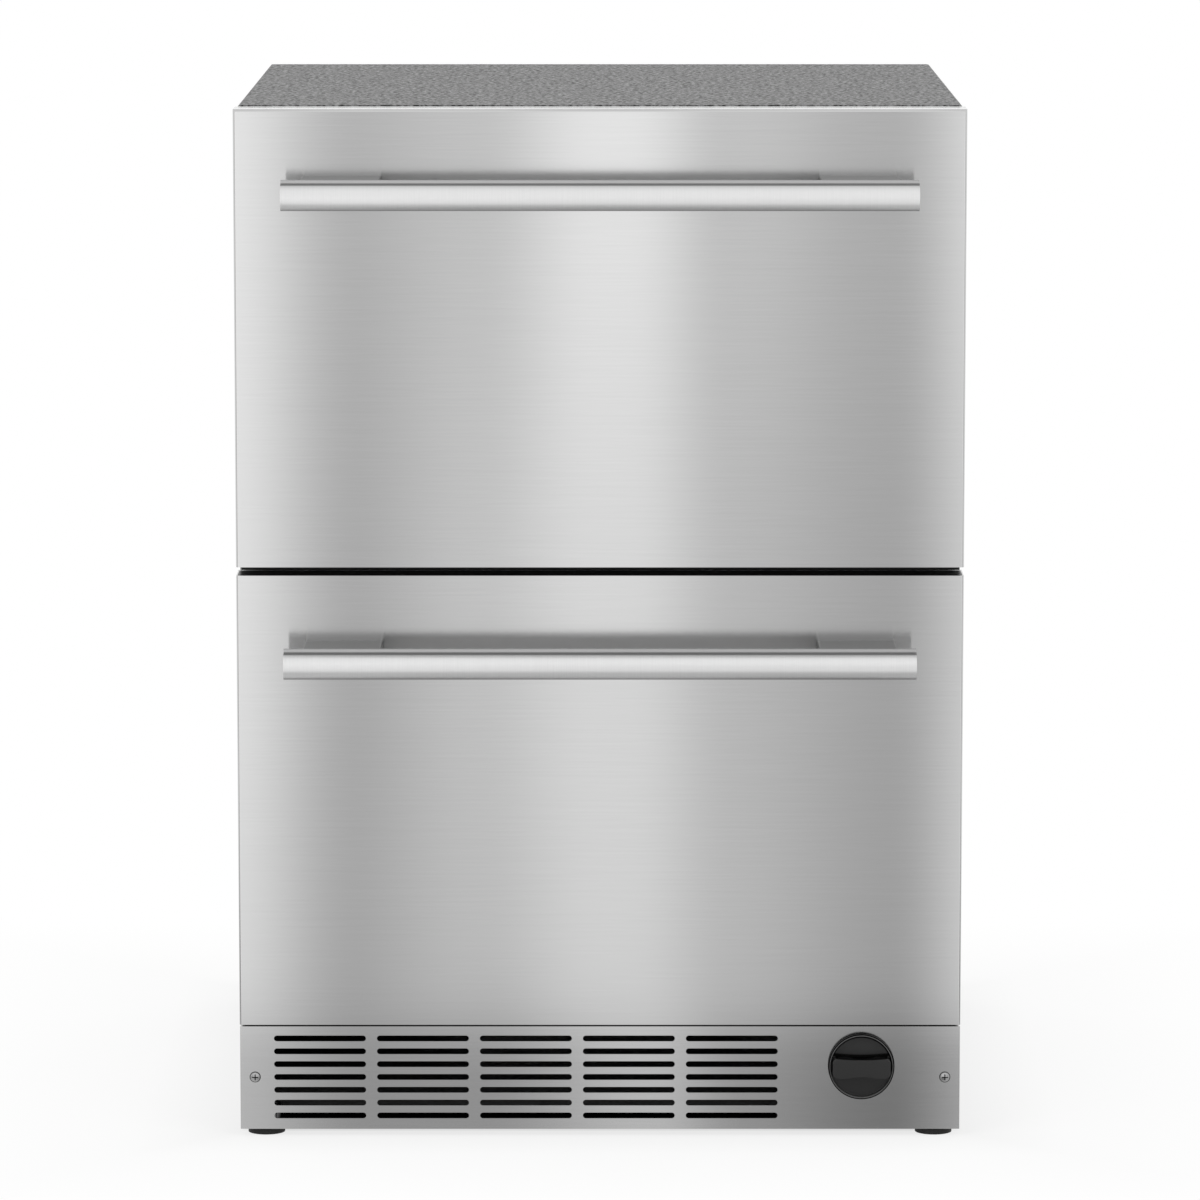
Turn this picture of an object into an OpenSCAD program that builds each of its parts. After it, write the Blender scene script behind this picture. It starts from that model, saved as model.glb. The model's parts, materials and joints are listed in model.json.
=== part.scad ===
// Undercounter drawer refrigerator.
// Two insulated drawers on telescopic ball slides, a foamed cabinet, a machine
// compartment behind a slotted toe grille, and a quarter-turn water-filter cap.
// +X is to the right seen from the front, the front faces -Y, +Z is up.
// The origin is on the floor, under the middle of the whole box, handles included.

/* [Overall] */
// Width of the drawer fronts
front_w = 606; // [600:1:620]
// Height from the floor to the top of the cabinet, legs screwed in
total_h = 867; // [860:1:885]
// Depth from the face of the drawer fronts to the back of the cabinet
depth = 603; // [600:1:620]
// How far the handles stand out from the drawer fronts
handle_reach = 60; // [52:1:75]

/* [Drawer fronts] */
// Thickness of a drawer front
front_t = 37; // [34:1:42]
// Height of the toe zone under the lower drawer front
toe_h = 97; // [95:1:104]
// Gap between the two drawer fronts
drawer_gap = 7; // [5:0.5:9]
// Step from the cabinet top down to the upper drawer front
top_step = 1; // [0.5:0.5:4]
// Sheet thickness of the steel skins
skin_t = 1; // [0.8:0.1:1.4]
// Outside radius of the folds in the skins
fold_r = 2; // [1.5:0.25:3]
// Thickness of the black end caps on the drawer fronts
cap_t = 4; // [3:0.5:4.5]
// Thickness of the plastic panel inside a drawer front
panel_t = 6; // [5.5:0.5:8]
// How far the plug of the inner panel reaches into the cabinet
plug_t = 8; // [6:1:12]
// Inset of the gasket from the edge of its drawer front
gasket_inset = 5; // [5:0.5:6]
// Width of the gasket
gasket_w = 12; // [10:0.5:13]
// Width of the gasket's foot, which sits in the groove of the inner panel
gasket_foot = 5; // [4:0.5:6]
// Space between drawer front and cabinet that the gasket bridges
seal_gap = 3; // [2.5:0.5:5]
// Depth of the groove that holds the gasket
groove_d = 4; // [3:0.5:4.5]

/* [Handles] */
// Length of the handle bar
handle_len = 523; // [480:1:560]
// Radius of the round front of the bar
bar_r = 11.2; // [10:0.1:12.5]
// Thickness of the flat plate behind the round
plate_t = 4.5; // [3:0.1:6]
// Height of the plate's top above the middle of the bar
plate_rise = 14; // [13:0.1:16]
// Width of a handle post
post_w = 64.5; // [50:0.5:80]
// Height of a handle post
post_h = 18; // [14:1:22]
// Step from the bar's end to its post
post_inset = 15.5; // [10:0.5:30]
// Height of the bar's middle below the top of its drawer front
handle_drop = 68.7; // [60:0.1:80]
// Radius of the screws that hold the posts
post_screw_r = 2.5; // [2:0.25:3]

/* [Cabinet] */
// Step from the side of a drawer front to the side of the cabinet
case_inset = 1.5; // [1:0.5:2.5]
// Sheet thickness of the outer case
case_t = 1; // [0.8:0.1:1.4]
// Outside radius of the case's upper folds
case_r = 3; // [2:0.5:5]
// Height of the lower edge of the case sides above the floor
case_low = 14; // [13:0.5:18]
// Width of the front flange of the case
flange_w = 28; // [26:0.5:30]
// Foam thickness in the side walls
foam_side = 38; // [36:1:42]
// Foam thickness in the top
foam_top = 38; // [34:1:44]
// Foam thickness in the back wall
foam_back = 45; // [40:1:50]
// Foam thickness round the machine compartment
foam_hump = 26; // [22:1:30]
// Wall thickness of the plastic liners
liner_t = 2; // [1.5:0.25:2.5]
// Corner radius of the liners
liner_r = 14; // [8:1:18]
// Depth of the evaporator's cover
cover_d = 58; // [56:1:62]
// Height of the divider between the compartments, liners included
mullion_h = 48; // [46:1:54]
// Height of the lower compartment's floor above the drawer front's lower edge
floor_rise = 36; // [34:1:44]
// Width of a groove in the divider's trim
trim_groove_w = 2.4; // [2:0.1:4]
// Distance of the trim's inner grooves from the side of the case
trim_groove_in = 110.5; // [80:0.5:150]
// Distance of the trim's outer grooves from the side of the case
trim_groove_out = 16.5; // [10:0.5:40]

/* [Machine compartment] */
// Depth of the machine compartment
machine_d = 190; // [184:1:196]
// Height of the machine compartment's ceiling above the floor
machine_top = 262; // [258:1:270]
// Sheet thickness of the base pan
pan_t = 1.5; // [1.2:0.1:2.5]
// Height of the base pan's underside
pan_z = 20; // [19:0.5:24]
// Height of the base pan's folded edges
pan_edge = 32; // [26:1:40]
// Radius of the compressor's shell
compressor_r = 70; // [62:1:74]
// Height of the compressor's shell
compressor_h = 160; // [145:1:168]
// Height of a compressor grommet
grommet_h = 14; // [10:1:18]
// Radius of the condenser fan
condenser_fan_r = 64; // [55:1:66]
// Radius of the evaporator fan
evaporator_fan_r = 46; // [40:1:48]
// Running gap between a fan and its ring
fan_gap = 3; // [2:0.5:4]
// Radius of the fan shafts
shaft_r = 2.5; // [2:0.25:3]
// Radius of the thick refrigerant line
line_r = 4; // [3:0.25:5]
// Distance between the two anti-tip screw holes
tip_hole_pitch = 420; // [380:5:460]
// Radius of the anti-tip screw holes
tip_hole_r = 3; // [2.25:0.25:4]

/* [Toe grille] */
// Sheet thickness of the toe grille
grille_t = 1.2; // [1:0.1:1.6]
// Height of the grille's lower edge above the floor
grille_low = 6; // [4:0.5:8]
// Gap between the grille and the lower drawer front
grille_gap = 3; // [2:0.5:5]
// Step from the drawer-front face back to the grille
grille_back = 8; // [6:0.5:9]
// Depth of the grille's folded edges
grille_fold = 12; // [8:1:14]
// Length of a slot
slot_len = 77.4; // [60:0.1:80]
// Height of a slot
slot_h = 4.95; // [4:0.05:7]
// Rows of slots
slot_rows = 7; // [4:1:7]
// Distance from slot to slot along a row
slot_pitch_x = 86.7; // [82:0.1:90]
// Distance from row to row
slot_pitch_z = 11.03; // [9:0.01:11.5]
// Distance of the first slot from the left side of the grille
slot_left = 28.5; // [20:0.1:32]
// Least distance from the last slot to the filter cap
slot_right = 30; // [20:1:40]
// Height of the middle of the field of slots
slot_mid_z = 50.6; // [48:0.1:52]
// Distance of a grille screw from the side of the grille
screw_inset = 12.5; // [10:0.5:17]
// Height of the grille screws
screw_z = 50.6; // [45:0.1:60]
// Radius of a grille screw's shank
screw_r = 2; // [1.5:0.1:2.5]
// Radius of a grille screw's head
screw_head_r = 4.7; // [4:0.1:5.5]
// Length of a grille screw under its head
screw_len = 10; // [8:1:14]

/* [Water filter] */
// Distance of the filter from the right side of the grille
filter_inset = 83; // [77:0.5:91]
// Height of the filter above the floor
filter_z = 60.5; // [57:0.5:62]
// Radius of the turning cap
cap_r = 27.8; // [25:0.1:29]
// How far the cap's rim stands out from the grille
cap_reach = 6; // [4:0.5:8]
// How far the cap's grip stands out from the grille
grip_reach = 14; // [10:0.5:16]
// Height of the grip at its ends
grip_h = 18; // [15:0.5:22]
// Length of the grip
grip_len = 48.6; // [40:0.2:50]
// Depth of the finger hollows in the grip's sides
grip_waist = 1.5; // [1:0.1:2.5]
// Radius of the cartridge
cartridge_r = 22; // [20:0.5:23]
// Length of the cartridge
cartridge_len = 200; // [180:5:220]
// Wall of the filter housing
housing_t = 2.5; // [2:0.25:3]

/* [Slides] */
// How far the closed slides reach behind the bins
slide_past = 2; // [0:1:20]
// Height of a slide's cabinet member
slide_h = 45; // [42:1:48]
// Total thickness of a slide
slide_t = 13; // [12.8:0.1:14]
// Sheet thickness of the slide members
member_t = 1.2; // [1:0.1:1.3]
// Radius of the balls
ball_r = 1.5; // [1.4:0.1:1.7]
// Sheet thickness of a ball cage
cage_t = 0.5; // [0.4:0.05:0.6]
// Length of a ball cage
cage_len = 150; // [120:5:170]
// Balls in each row of a cage
ball_count = 6; // [4:1:8]
// Height of the slides above the compartment floor
slide_rise = 194; // [194:1:206]

/* [Bins] */
// Wall thickness of the drawer bins
bin_t = 2; // [1.5:0.25:3]
// Height of the drawer bins
bin_h = 240; // [230:5:260]
// Gap between a bin and the compartment floor
bin_gap = 10; // [8:1:14]
// Gap between a bin's rim and the evaporator's cover
bin_back_gap = 20; // [12:1:40]
// Corner radius of the bins
bin_r = 8; // [6:1:20]
// Width of the bins' folded rim
rim_w = 7; // [5:0.5:9]
// Height of the bins' folded rim
rim_h = 9; // [6:0.5:14]

/* [Legs] */
// Radius of a foot
foot_r = 15.5; // [14:0.5:17]
// Height of a foot
foot_h = 7; // [6:0.5:8]
// Radius of a leg's stud
stud_r = 5; // [4:0.5:6]
// Length of the stud above the foot
stud_len = 62; // [55:1:66]
// Step from the side of the drawer fronts to the legs
leg_inset = 21; // [19:1:27]
// Step from the drawer-front face to the front legs
leg_front = 28; // [26:0.5:34]
// Step from the cabinet's back to the rear legs
leg_rear = 40; // [34:1:50]

/* [Hidden] */
$fn = 48;
eps = 0.01;             // overshoot of a cut past the face that it opens
seat_gap = 0.3;         // clearance of a seal or stop that another body closes on
run_gap = 0.1;          // radial clearance of a pin or stud that moves in its bore
ball_gap = 0.05;        // clearance of a ball to each race
hand_gap = 4;           // clearance of a bin or plug to what it passes
bend_swell = 0.15;      // how much a tube's bend is thicker than its straight runs

// ---- places, all worked out from the sizes above ----
front_y = (handle_reach - depth)/2;              // face of the drawer fronts
back_y = front_y + depth;                        // back of the cabinet
panel_y = front_y + front_t - panel_t;           // front of the inner panels
door_y = front_y + front_t;                      // back of the drawer fronts
case_y = door_y + seal_gap;                      // front of the cabinet
front_h = (total_h - top_step - toe_h - drawer_gap)/2;
lower_z = toe_h;                                 // lower edge of the lower front
upper_z = toe_h + front_h + drawer_gap;          // lower edge of the upper front
gap_z = upper_z - drawer_gap/2;                  // middle of the gap between the fronts

case_w = front_w - 2*case_inset;
case_in = case_w/2 - case_t;                     // inside face of the case sides
wall_x = case_in - foam_side - liner_t;          // inside face of a liner's side wall
ceil_z = total_h - case_t - foam_top - liner_t;  // ceiling of the upper compartment
upper_floor = gap_z + mullion_h/2;
lower_ceil = gap_z - mullion_h/2;
lower_floor = toe_h + floor_rise;
cavity_y = back_y - case_t - foam_back - liner_t; // back wall of the compartments
sheet_y = back_y - case_t;                       // inside face of the back sheets
frame_low = toe_h + 2;                           // lower edge of the case's front frame
foam_low = frame_low + 2;                        // underside of the foam
machine_y = sheet_y - machine_d;                 // front wall of the machine compartment
hump_y = machine_y - foam_hump - liner_t;        // step in the lower compartment
hump_z = machine_top + foam_hump + liner_t;
trim_h = mullion_h - 2*liner_t;

frame_x = case_w/2 - flange_w;                   // edges of the opening in the case frame
frame_top = total_h - flange_w;
frame_bottom = lower_floor - (frame_x - wall_x);

bar_y = front_y - handle_reach + bar_r;          // middle of the handle bar
cover_y = cavity_y - cover_d;                    // front of the evaporator's cover
bin_y = door_y + plug_t;                         // front of the bins
bin_w = 2*(wall_x - slide_t);
bin_d = cover_y - bin_back_gap - rim_w - bin_y;
bracket_t = 1.5;
slide_y = bin_y + bracket_t + 2.5;               // front end of the slides
slide_len = bin_y + bin_d + rim_w + slide_past - slide_y;

grille_y = front_y + grille_back;
grille_top = toe_h - grille_gap;
pan_y = grille_y + grille_t;                     // front edge of the base pan
pan_top = pan_z + pan_t;
screw_x = front_w/2 - screw_inset;
leg_x = front_w/2 - leg_inset;
filter_x = front_w/2 - filter_inset;
slot_cols = floor((front_w - filter_inset - cap_r - slot_right - slot_left + slot_pitch_x - slot_len)
                  /slot_pitch_x);

// ---- shapes that several pieces share ----

// Rectangle w by h round the origin, with round corners
module round_rect(w, h, r) {
    square([w - 2*r, h], center = true);
    square([w, h - 2*r], center = true);
    for (x = [-1, 1], y = [-1, 1])
        translate([x*(w/2 - r), y*(h/2 - r)]) circle(r);
}

// Slot len long and wide wide along X, with round ends
module slot_shape(len, wide) {
    square([len - wide, wide], center = true);
    for (x = [-1, 1]) translate([x*(len - wide)/2, 0]) circle(wide/2);
}

// Rectangle from a low to a high corner, with round corners
module round_span(low, high, r) {
    translate((low + high)/2) round_rect(high[0] - low[0], high[1] - low[1], r);
}

// A 2D outline in X and Z, drawn out along Y from y0 to y1
module along_y(y0, y1) {
    translate([0, y1, 0]) rotate([90, 0, 0]) linear_extrude(y1 - y0) children();
}

// A 2D outline in Y and Z, drawn out along X from x0 to x1
module along_x(x0, x1) {
    translate([x0, 0, 0]) rotate([90, 0, 90]) linear_extrude(x1 - x0) children();
}

// A 2D outline in X and Y, drawn out along Z from z0 to z1
module along_z(z0, z1) {
    translate([0, 0, z0]) linear_extrude(z1 - z0) children();
}

// A block from its low corner to its high corner
module block(low, high) {
    translate(low) cube(high - low);
}

// A rod between two points
module rod(a, b, r) {
    d = b - a;
    translate(a)
        rotate([0, acos(d.z/norm(d)), atan2(d.y, d.x)])
            cylinder(r = r, h = norm(d));
}

// A bent tube: rods along the points, with a ball at each bend
module pipe(points, r) {
    for (i = [0:len(points) - 2]) rod(points[i], points[i + 1], r);
    for (i = [1:len(points) - 2]) translate(points[i]) sphere(r + bend_swell);
}

// A disc with its axis along Y, from y0 to y1
module disc_y(x, z, r, y0, y1) {
    translate([x, y1, z]) rotate([90, 0, 0]) cylinder(r = r, h = y1 - y0);
}

// The same piece on the left and on the right
module both_sides() {
    children();
    mirror([1, 0, 0]) children();
}

// ---- outer case, back and base ----

// Outline of the case, open below: grow moves it out, low is its lower edge
module case_outline(grow, low) {
    w = case_w/2 + grow;
    top = total_h + grow;
    r = case_r + grow;
    translate([-w, low]) square([2*w, top - r - low]);
    translate([-w + r, low]) square([2*(w - r), top - low]);
    for (x = [-1, 1]) translate([x*(w - r), top - r]) circle(r);
}

module outer_case() {
    color("#8a8a8a")
    difference() {
        along_y(case_y, back_y) case_outline(0, case_low);
        along_y(case_y + case_t, back_y + eps) case_outline(-case_t, case_low - eps);
        // toe zone, opening of the front frame and seat of the divider's trim
        block([-case_in, case_y - eps, 0], [case_in, case_y + 2*case_t, frame_low]);
        block([-frame_x, case_y - eps, frame_bottom], [frame_x, case_y + 2*case_t, frame_top]);
        block([-case_in, case_y - eps, gap_z - trim_h/2],
              [case_in, case_y + 2*case_t, gap_z + trim_h/2]);
    }
}

// Pressed beads that stiffen the rear panel, as a 2D shape
bead_w = 12;
bead_rise = 2;          // how far a bead is pushed in
module beads(inset) {
    for (x = [-1:1])
        translate([x*case_in*0.6, (machine_top + total_h)/2]) rotate(90)
            slot_shape((total_h - machine_top)*0.7 - 2*inset, bead_w - 2*inset);
}

module rear_panel() {
    color("#a9abac")
    difference() {
        union() {
            along_y(sheet_y, back_y) case_outline(-case_t, machine_top);
            along_y(sheet_y - bead_rise, back_y) beads(0);
        }
        along_y(sheet_y - bead_rise + case_t, back_y + eps) beads(case_t);
    }
}

// Bent sheet that carries the foam: under it, up in front of the machine
// compartment and back over its ceiling
module step_panel() {
    color("#a9abac")
    difference() {
        along_x(-case_in, case_in)
            polygon([
                [case_y + case_t, foam_low - case_t], [machine_y + case_t, foam_low - case_t],
                [machine_y + case_t, machine_top - case_t], [sheet_y, machine_top - case_t],
                [sheet_y, machine_top], [machine_y, machine_top],
                [machine_y, foam_low], [case_y + case_t, foam_low]
            ]);
        line_holes(seat_gap);
    }
}

vent_w = 5;
vent_h = 46;
vent_pitch = 13;
vent_row = 62;          // height of a row of vents above the one below it
vent_first = 28;        // where a field of vents starts, from the middle
module machine_cover() {
    low = pan_z + pan_edge;
    vent_last = valve_x - valve_foot;
    vent_x = (vent_first + vent_last)/2;
    vent_n = floor((vent_last - vent_first - vent_w)/2/vent_pitch);
    color("#a9abac")
    difference() {
        block([-case_in, sheet_y, low], [case_in, back_y, machine_top - case_t]);
        // two fields of upright slots that let the warm air out
        along_y(sheet_y - eps, back_y + eps)
            for (x = [-1, 1], i = [-vent_n:vent_n], j = [1, 2])
                translate([x*vent_x + i*vent_pitch, low + j*vent_row]) rotate(90)
                    slot_shape(vent_h, vent_w);
        disc_y(cord_x, cord_z, cord_hole_r, sheet_y - eps, back_y + eps);
        disc_y(valve_x, valve_z, valve_hole_r, sheet_y - eps, back_y + eps);
    }
}

ear_w = 17;
module base_pan() {
    ear_y = pan_y + pan_t;
    color("#b4b6b7")
    difference() {
        union() {
            block([-case_in, case_y + case_t, pan_z], [case_in, back_y, pan_top]);
            block([-screw_x - ear_w/2, pan_y, pan_z], [screw_x + ear_w/2, case_y + 2*case_t, pan_top]);
            both_sides() {
                // side flange inside the case, and the ear behind a grille screw
                block([case_in - pan_t, case_y + case_t, pan_z], [case_in, back_y, pan_z + pan_edge]);
                block([screw_x - ear_w/2, pan_y, pan_z], [screw_x + ear_w/2, ear_y, screw_z + ear_w/2]);
            }
            block([-case_in, back_y - pan_t, pan_z], [case_in, back_y, pan_z + pan_edge]);
        }
        both_sides() {
            disc_y(screw_x, screw_z, screw_r, pan_y - eps, ear_y + eps);
            disc_y(tip_hole_pitch/2, (pan_top + pan_z + pan_edge)/2, tip_hole_r,
                   back_y - pan_t - eps, back_y + eps);
            for (y = [front_y + leg_front, back_y - leg_rear])
                translate([leg_x, y, pan_z - eps]) cylinder(r = bush_r, h = pan_t + 2*eps);
        }
    }
}

// ---- foam and liners ----

// Space inside a liner between two heights, from the cabinet's front back to
// deep, and grown on all sides but the front
module cavity(floor_z, top_z, deep, grow) {
    along_y(case_y - eps, deep + grow)
        round_span([-wall_x - grow, floor_z - grow], [wall_x + grow, top_z + grow],
                   liner_r + grow);
}

module upper_cavity(grow) {
    cavity(upper_floor, ceil_z, cavity_y, grow);
}

module lower_cavity(grow) {
    cavity(lower_floor, lower_ceil, hump_y, grow);
    cavity(hump_z, lower_ceil, cavity_y, grow);
}

// Front flange of a liner, flush in the case's front frame
module liner_flange(low, high) {
    block([-frame_x, case_y, low], [frame_x, case_y + liner_t, high]);
}

module upper_liner() {
    color("#f0f1ef")
    difference() {
        union() {
            intersection() {
                upper_cavity(liner_t);
                block([-case_in, case_y, 0], [case_in, back_y, total_h]);
            }
            liner_flange(gap_z + trim_h/2, frame_top);
        }
        upper_cavity(0);
        line_holes(seat_gap);
    }
}

module lower_liner() {
    color("#f0f1ef")
    difference() {
        union() {
            intersection() {
                lower_cavity(liner_t);
                block([-case_in, case_y, 0], [case_in, back_y, total_h]);
            }
            liner_flange(frame_bottom, gap_z - trim_h/2);
        }
        lower_cavity(0);
    }
}

module foam_insulation() {
    color("#e8d9a0")
    difference() {
        along_y(case_y + case_t, sheet_y) case_outline(-case_t, foam_low);
        block([-case_in - eps, machine_y, 0], [case_in + eps, back_y, machine_top]);
        upper_cavity(liner_t);
        lower_cavity(liner_t);
        liner_flange(gap_z, frame_top);
        liner_flange(frame_bottom, gap_z);
        // seat of the divider's trim
        block([-case_in - eps, case_y, gap_z - trim_h/2],
              [case_in + eps, case_y + liner_t, gap_z + trim_h/2]);
        along_y(sheet_y - bead_rise, sheet_y + eps) beads(0);
        line_holes(seat_gap);
    }
}

module mullion_trim() {
    color("#17181a")
    difference() {
        block([-case_in, case_y, gap_z - trim_h/2], [case_in, case_y + liner_t, gap_z + trim_h/2]);
        both_sides()
            for (inset = [trim_groove_in + 4, trim_groove_in - 4, trim_groove_out]) {
                x = case_in - inset;
                block([x, case_y - eps, gap_z - trim_h/2 + 3],
                      [x + trim_groove_w, case_y + liner_t/2, gap_z + trim_h/2 - 3]);
            }
    }
}

// ---- cooling in the upper compartment ----

cover_wall = 2;
cover_x = wall_x - 55.5;
cover_low = upper_floor + 20;
cover_high = ceil_z - 18;
fan_z = cover_high - evaporator_fan_r - 26;
guard_t = 2.4;          // width of the bars of the fan's guard
coil_rows = 5;
coil_pitch = 26;
coil_tube_r = 4;
fin_count = 26;
fin_t = 0.8;

module evaporator_cover() {
    ring_r = evaporator_fan_r + fan_gap;
    color("#e9eae8")
    difference() {
        along_y(cover_y, cavity_y)
            round_span([-cover_x, cover_low], [cover_x, cover_high], 12);
        along_y(cover_y + cover_wall, cavity_y + eps)
            round_span([-cover_x + cover_wall, cover_low + cover_wall],
                       [cover_x - cover_wall, cover_high - cover_wall], 10);
        // fan opening behind a guard of rings and spokes
        difference() {
            disc_y(0, fan_z, ring_r, cover_y - eps, cover_y + 2*cover_wall);
            for (k = [1:3])
                difference() {
                    disc_y(0, fan_z, ring_r*k/4 + guard_t/2, cover_y - 2*eps, cover_y + 3*cover_wall);
                    disc_y(0, fan_z, ring_r*k/4 - guard_t/2, cover_y - 3*eps, cover_y + 4*cover_wall);
                }
            for (a = [0:60:120])
                translate([0, cover_y + cover_wall, fan_z]) rotate([0, a, 0])
                    cube([2*ring_r + 2, 3*cover_wall, guard_t], center = true);
        }
        // return-air slots near the floor
        along_y(cover_y - eps, cover_y + 2*cover_wall)
            for (i = [-7:7]) translate([i*24, cover_low + 26]) slot_shape(16, 5);
    }
}

evap_fan_y = cover_y + 13;      // middle of the evaporator fan
motor_r = 17;                   // the evaporator fan's motor
motor_len = 20;
motor_arm = 55;                 // distance of its stand-offs from its shaft
module evaporator_fan_motor() {
    front = evap_fan_y + 8;
    color("#3b3d40") {
        disc_y(0, fan_z, motor_r, front, front + motor_len);
        disc_y(0, fan_z, shaft_r, evap_fan_y - 6, front + eps);
        // bracket from side to side behind the motor, on two stand-offs
        block([-motor_arm - 7, front + motor_len - eps, fan_z - 8],
              [motor_arm + 7, front + motor_len + 2, fan_z + 8]);
        for (x = [-motor_arm, motor_arm]) disc_y(x, fan_z, 5, front + motor_len + 2 - eps, cavity_y);
    }
}

// Fan with its axis along Y through the origin: cambered blades on a hub
module fan(r, hub_r, hub_h, blades, chord, pitch) {
    difference() {
        union() {
            disc_y(0, 0, hub_r, -hub_h/2, hub_h/2);
            intersection() {
                disc_y(0, 0, r, -chord, chord);
                for (a = [0:360/blades:359])
                    rotate([0, a, 0]) translate([hub_r - 1.5, 0, 0]) rotate([pitch, 0, 0])
                        // slice of a tube: the blade's camber
                        translate([0, -1.6*chord, 0]) rotate([0, 90, 0])
                            intersection() {
                                difference() {
                                    cylinder(r = 1.6*chord + 0.8, h = r);
                                    translate([0, 0, -eps]) cylinder(r = 1.6*chord - 0.8, h = r + 2*eps);
                                }
                                translate([-chord/2, chord, 0]) cube([chord, chord, r]);
                            }
            }
        }
        disc_y(0, 0, shaft_r + run_gap, -hub_h, hub_h);
    }
}

module evaporator_fan() {
    color("#e2e4e6") translate([0, evap_fan_y, fan_z])
        fan(evaporator_fan_r, 15, 10, 5, 20, 30);
}

// ---- machine compartment ----

comp_x = -case_in + compressor_r + 42.5;
comp_y = machine_y + 12 + compressor_r;
comp_low = pan_top + grommet_h - 3;
comp_top = comp_low + compressor_h;
foot_dx = 60;           // distances of the compressor's grommets from its middle
foot_dy = 52;
foot_plate = 2.5;
cond_x = case_in - 205.5;
cond_y = machine_y + machine_d/2;
cond_half = 66;
cond_low = pan_top + 34;
cond_rows = 7;
cond_pitch = 20;
cond_high = cond_low + (cond_rows - 1)*cond_pitch;
cfan_x = cond_x - 75;
cfan_z = pan_top + condenser_fan_r + fan_gap + 10;
shroud_t = 1.2;
drier_r = 9;
drier_h = 80;
drier_x = cond_x + 28;
drier_y = machine_y + case_t + drier_r + 3;
valve_x = case_in - 86.5;
valve_z = 104;
valve_foot = 46;        // reach of the valve's bracket
valve_body = [30, 30, 32]; // its block: width, depth and height
valve_r = 13.1;         // thread of the water inlet
valve_hole_r = 22;
valve_y = back_y - 26;  // root of the water inlet
cord_x = -case_in + 64.5;
cord_z = 86;
cord_r = 4.5;           // bore for the mains cord
cord_hole_r = 9;
tube_r = 3.2;           // quarter-inch water tube
riser_y = sheet_y - 22; // lines rise in the foam of the back wall
riser_x = case_in - 14.5;
nozzle_x = wall_x - 34.5; // end of the water tube in the upper compartment
capillary_r = 1.5;
coil_y = cavity_y - 24;
coil_half = cover_x - 40;
coil_low = cover_low + 42;
coil_high = coil_low + (coil_rows - 1)*coil_pitch;

// The lines, from point to point
suction_line = [
    [comp_x, comp_y, comp_top], [comp_x, comp_y, comp_top + 20],
    [comp_x, riser_y, comp_top + 20], [comp_x, riser_y, coil_low],
    [comp_x, coil_y, coil_low], [-coil_half, coil_y, coil_low]
];
discharge_line = [
    [comp_x + compressor_r, comp_y, comp_top - 50], [comp_x + compressor_r + 16, comp_y, comp_top - 50],
    [comp_x + compressor_r + 16, comp_y, comp_top + 14], [cond_x, comp_y, comp_top + 14],
    [cond_x, cond_y + cond_half + 14, comp_top + 14], [cond_x, cond_y + cond_half + 14, cond_high],
    [cond_x, cond_y + cond_half, cond_high]
];
liquid_line = [
    [cond_x, cond_y - cond_half, cond_low], [cond_x, drier_y, cond_low],
    [drier_x, drier_y, cond_low], [drier_x, drier_y, cond_low + 12]
];
capillary_line = [
    [drier_x, drier_y, cond_low + 12 + drier_h], [drier_x, drier_y, machine_top - 24],
    [drier_x, riser_y, machine_top - 24], [drier_x, riser_y, coil_high],
    [coil_half + 20, riser_y, coil_high], [coil_half + 20, coil_y, coil_high],
    [coil_half, coil_y, coil_high]
];
head_y = pan_y + 232;   // back of the filter's head
port_dx = 12;
water_in = [
    [valve_x, valve_y - 6 - valve_body[1], valve_z], [valve_x, machine_y + 24, valve_z],
    [filter_x - port_dx, machine_y - 30, filter_z], [filter_x - port_dx, head_y, filter_z]
];
water_out = [
    [filter_x + port_dx, head_y, filter_z], [filter_x + port_dx, machine_y - 30, filter_z],
    [riser_x, machine_y + 30, filter_z + 14], [riser_x, riser_y, filter_z + 14],
    [riser_x, riser_y, ceil_z - 20], [nozzle_x, riser_y, ceil_z - 20],
    [nozzle_x, cavity_y - 22, ceil_z - 20]
];

// The ways of the lines through sheet, foam and liner
module line_holes(gap) {
    pipe(suction_line, line_r + gap);
    pipe(capillary_line, capillary_r + gap);
    pipe(water_out, tube_r + gap);
}

module compressor() {
    r = compressor_r;
    cap = r/2;
    color("#1d1e20") translate([comp_x, comp_y, 0])
    difference() {
        union() {
            translate([0, 0, comp_low + cap]) cylinder(r = r, h = compressor_h - 2*cap);
            // weld flange and domed ends
            translate([0, 0, comp_low + compressor_h*0.42]) cylinder(r = r + 3, h = 4);
            intersection() {
                translate([0, 0, comp_low + 2.5*cap]) sphere(2.5*cap);
                translate([0, 0, comp_low - 1]) cylinder(r = r, h = cap + 2);
            }
            intersection() {
                translate([0, 0, comp_top - 2.5*cap]) sphere(2.5*cap);
                translate([0, 0, comp_top - cap - 1]) cylinder(r = r, h = cap + 2);
            }
            // mounting plate and terminal cover
            along_z(pan_top + grommet_h, pan_top + grommet_h + foot_plate)
                round_rect(2*foot_dx + 30, 2*foot_dy + 26, 10);
            block([-26, -r - 8, comp_low + 62], [26, -r + 14, comp_low + 118]);
        }
        for (x = [-1, 1], y = [-1, 1])
            translate([x*foot_dx, y*foot_dy, pan_top + grommet_h - 1]) cylinder(r = 5, h = foot_plate + 2);
    }
}

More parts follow.
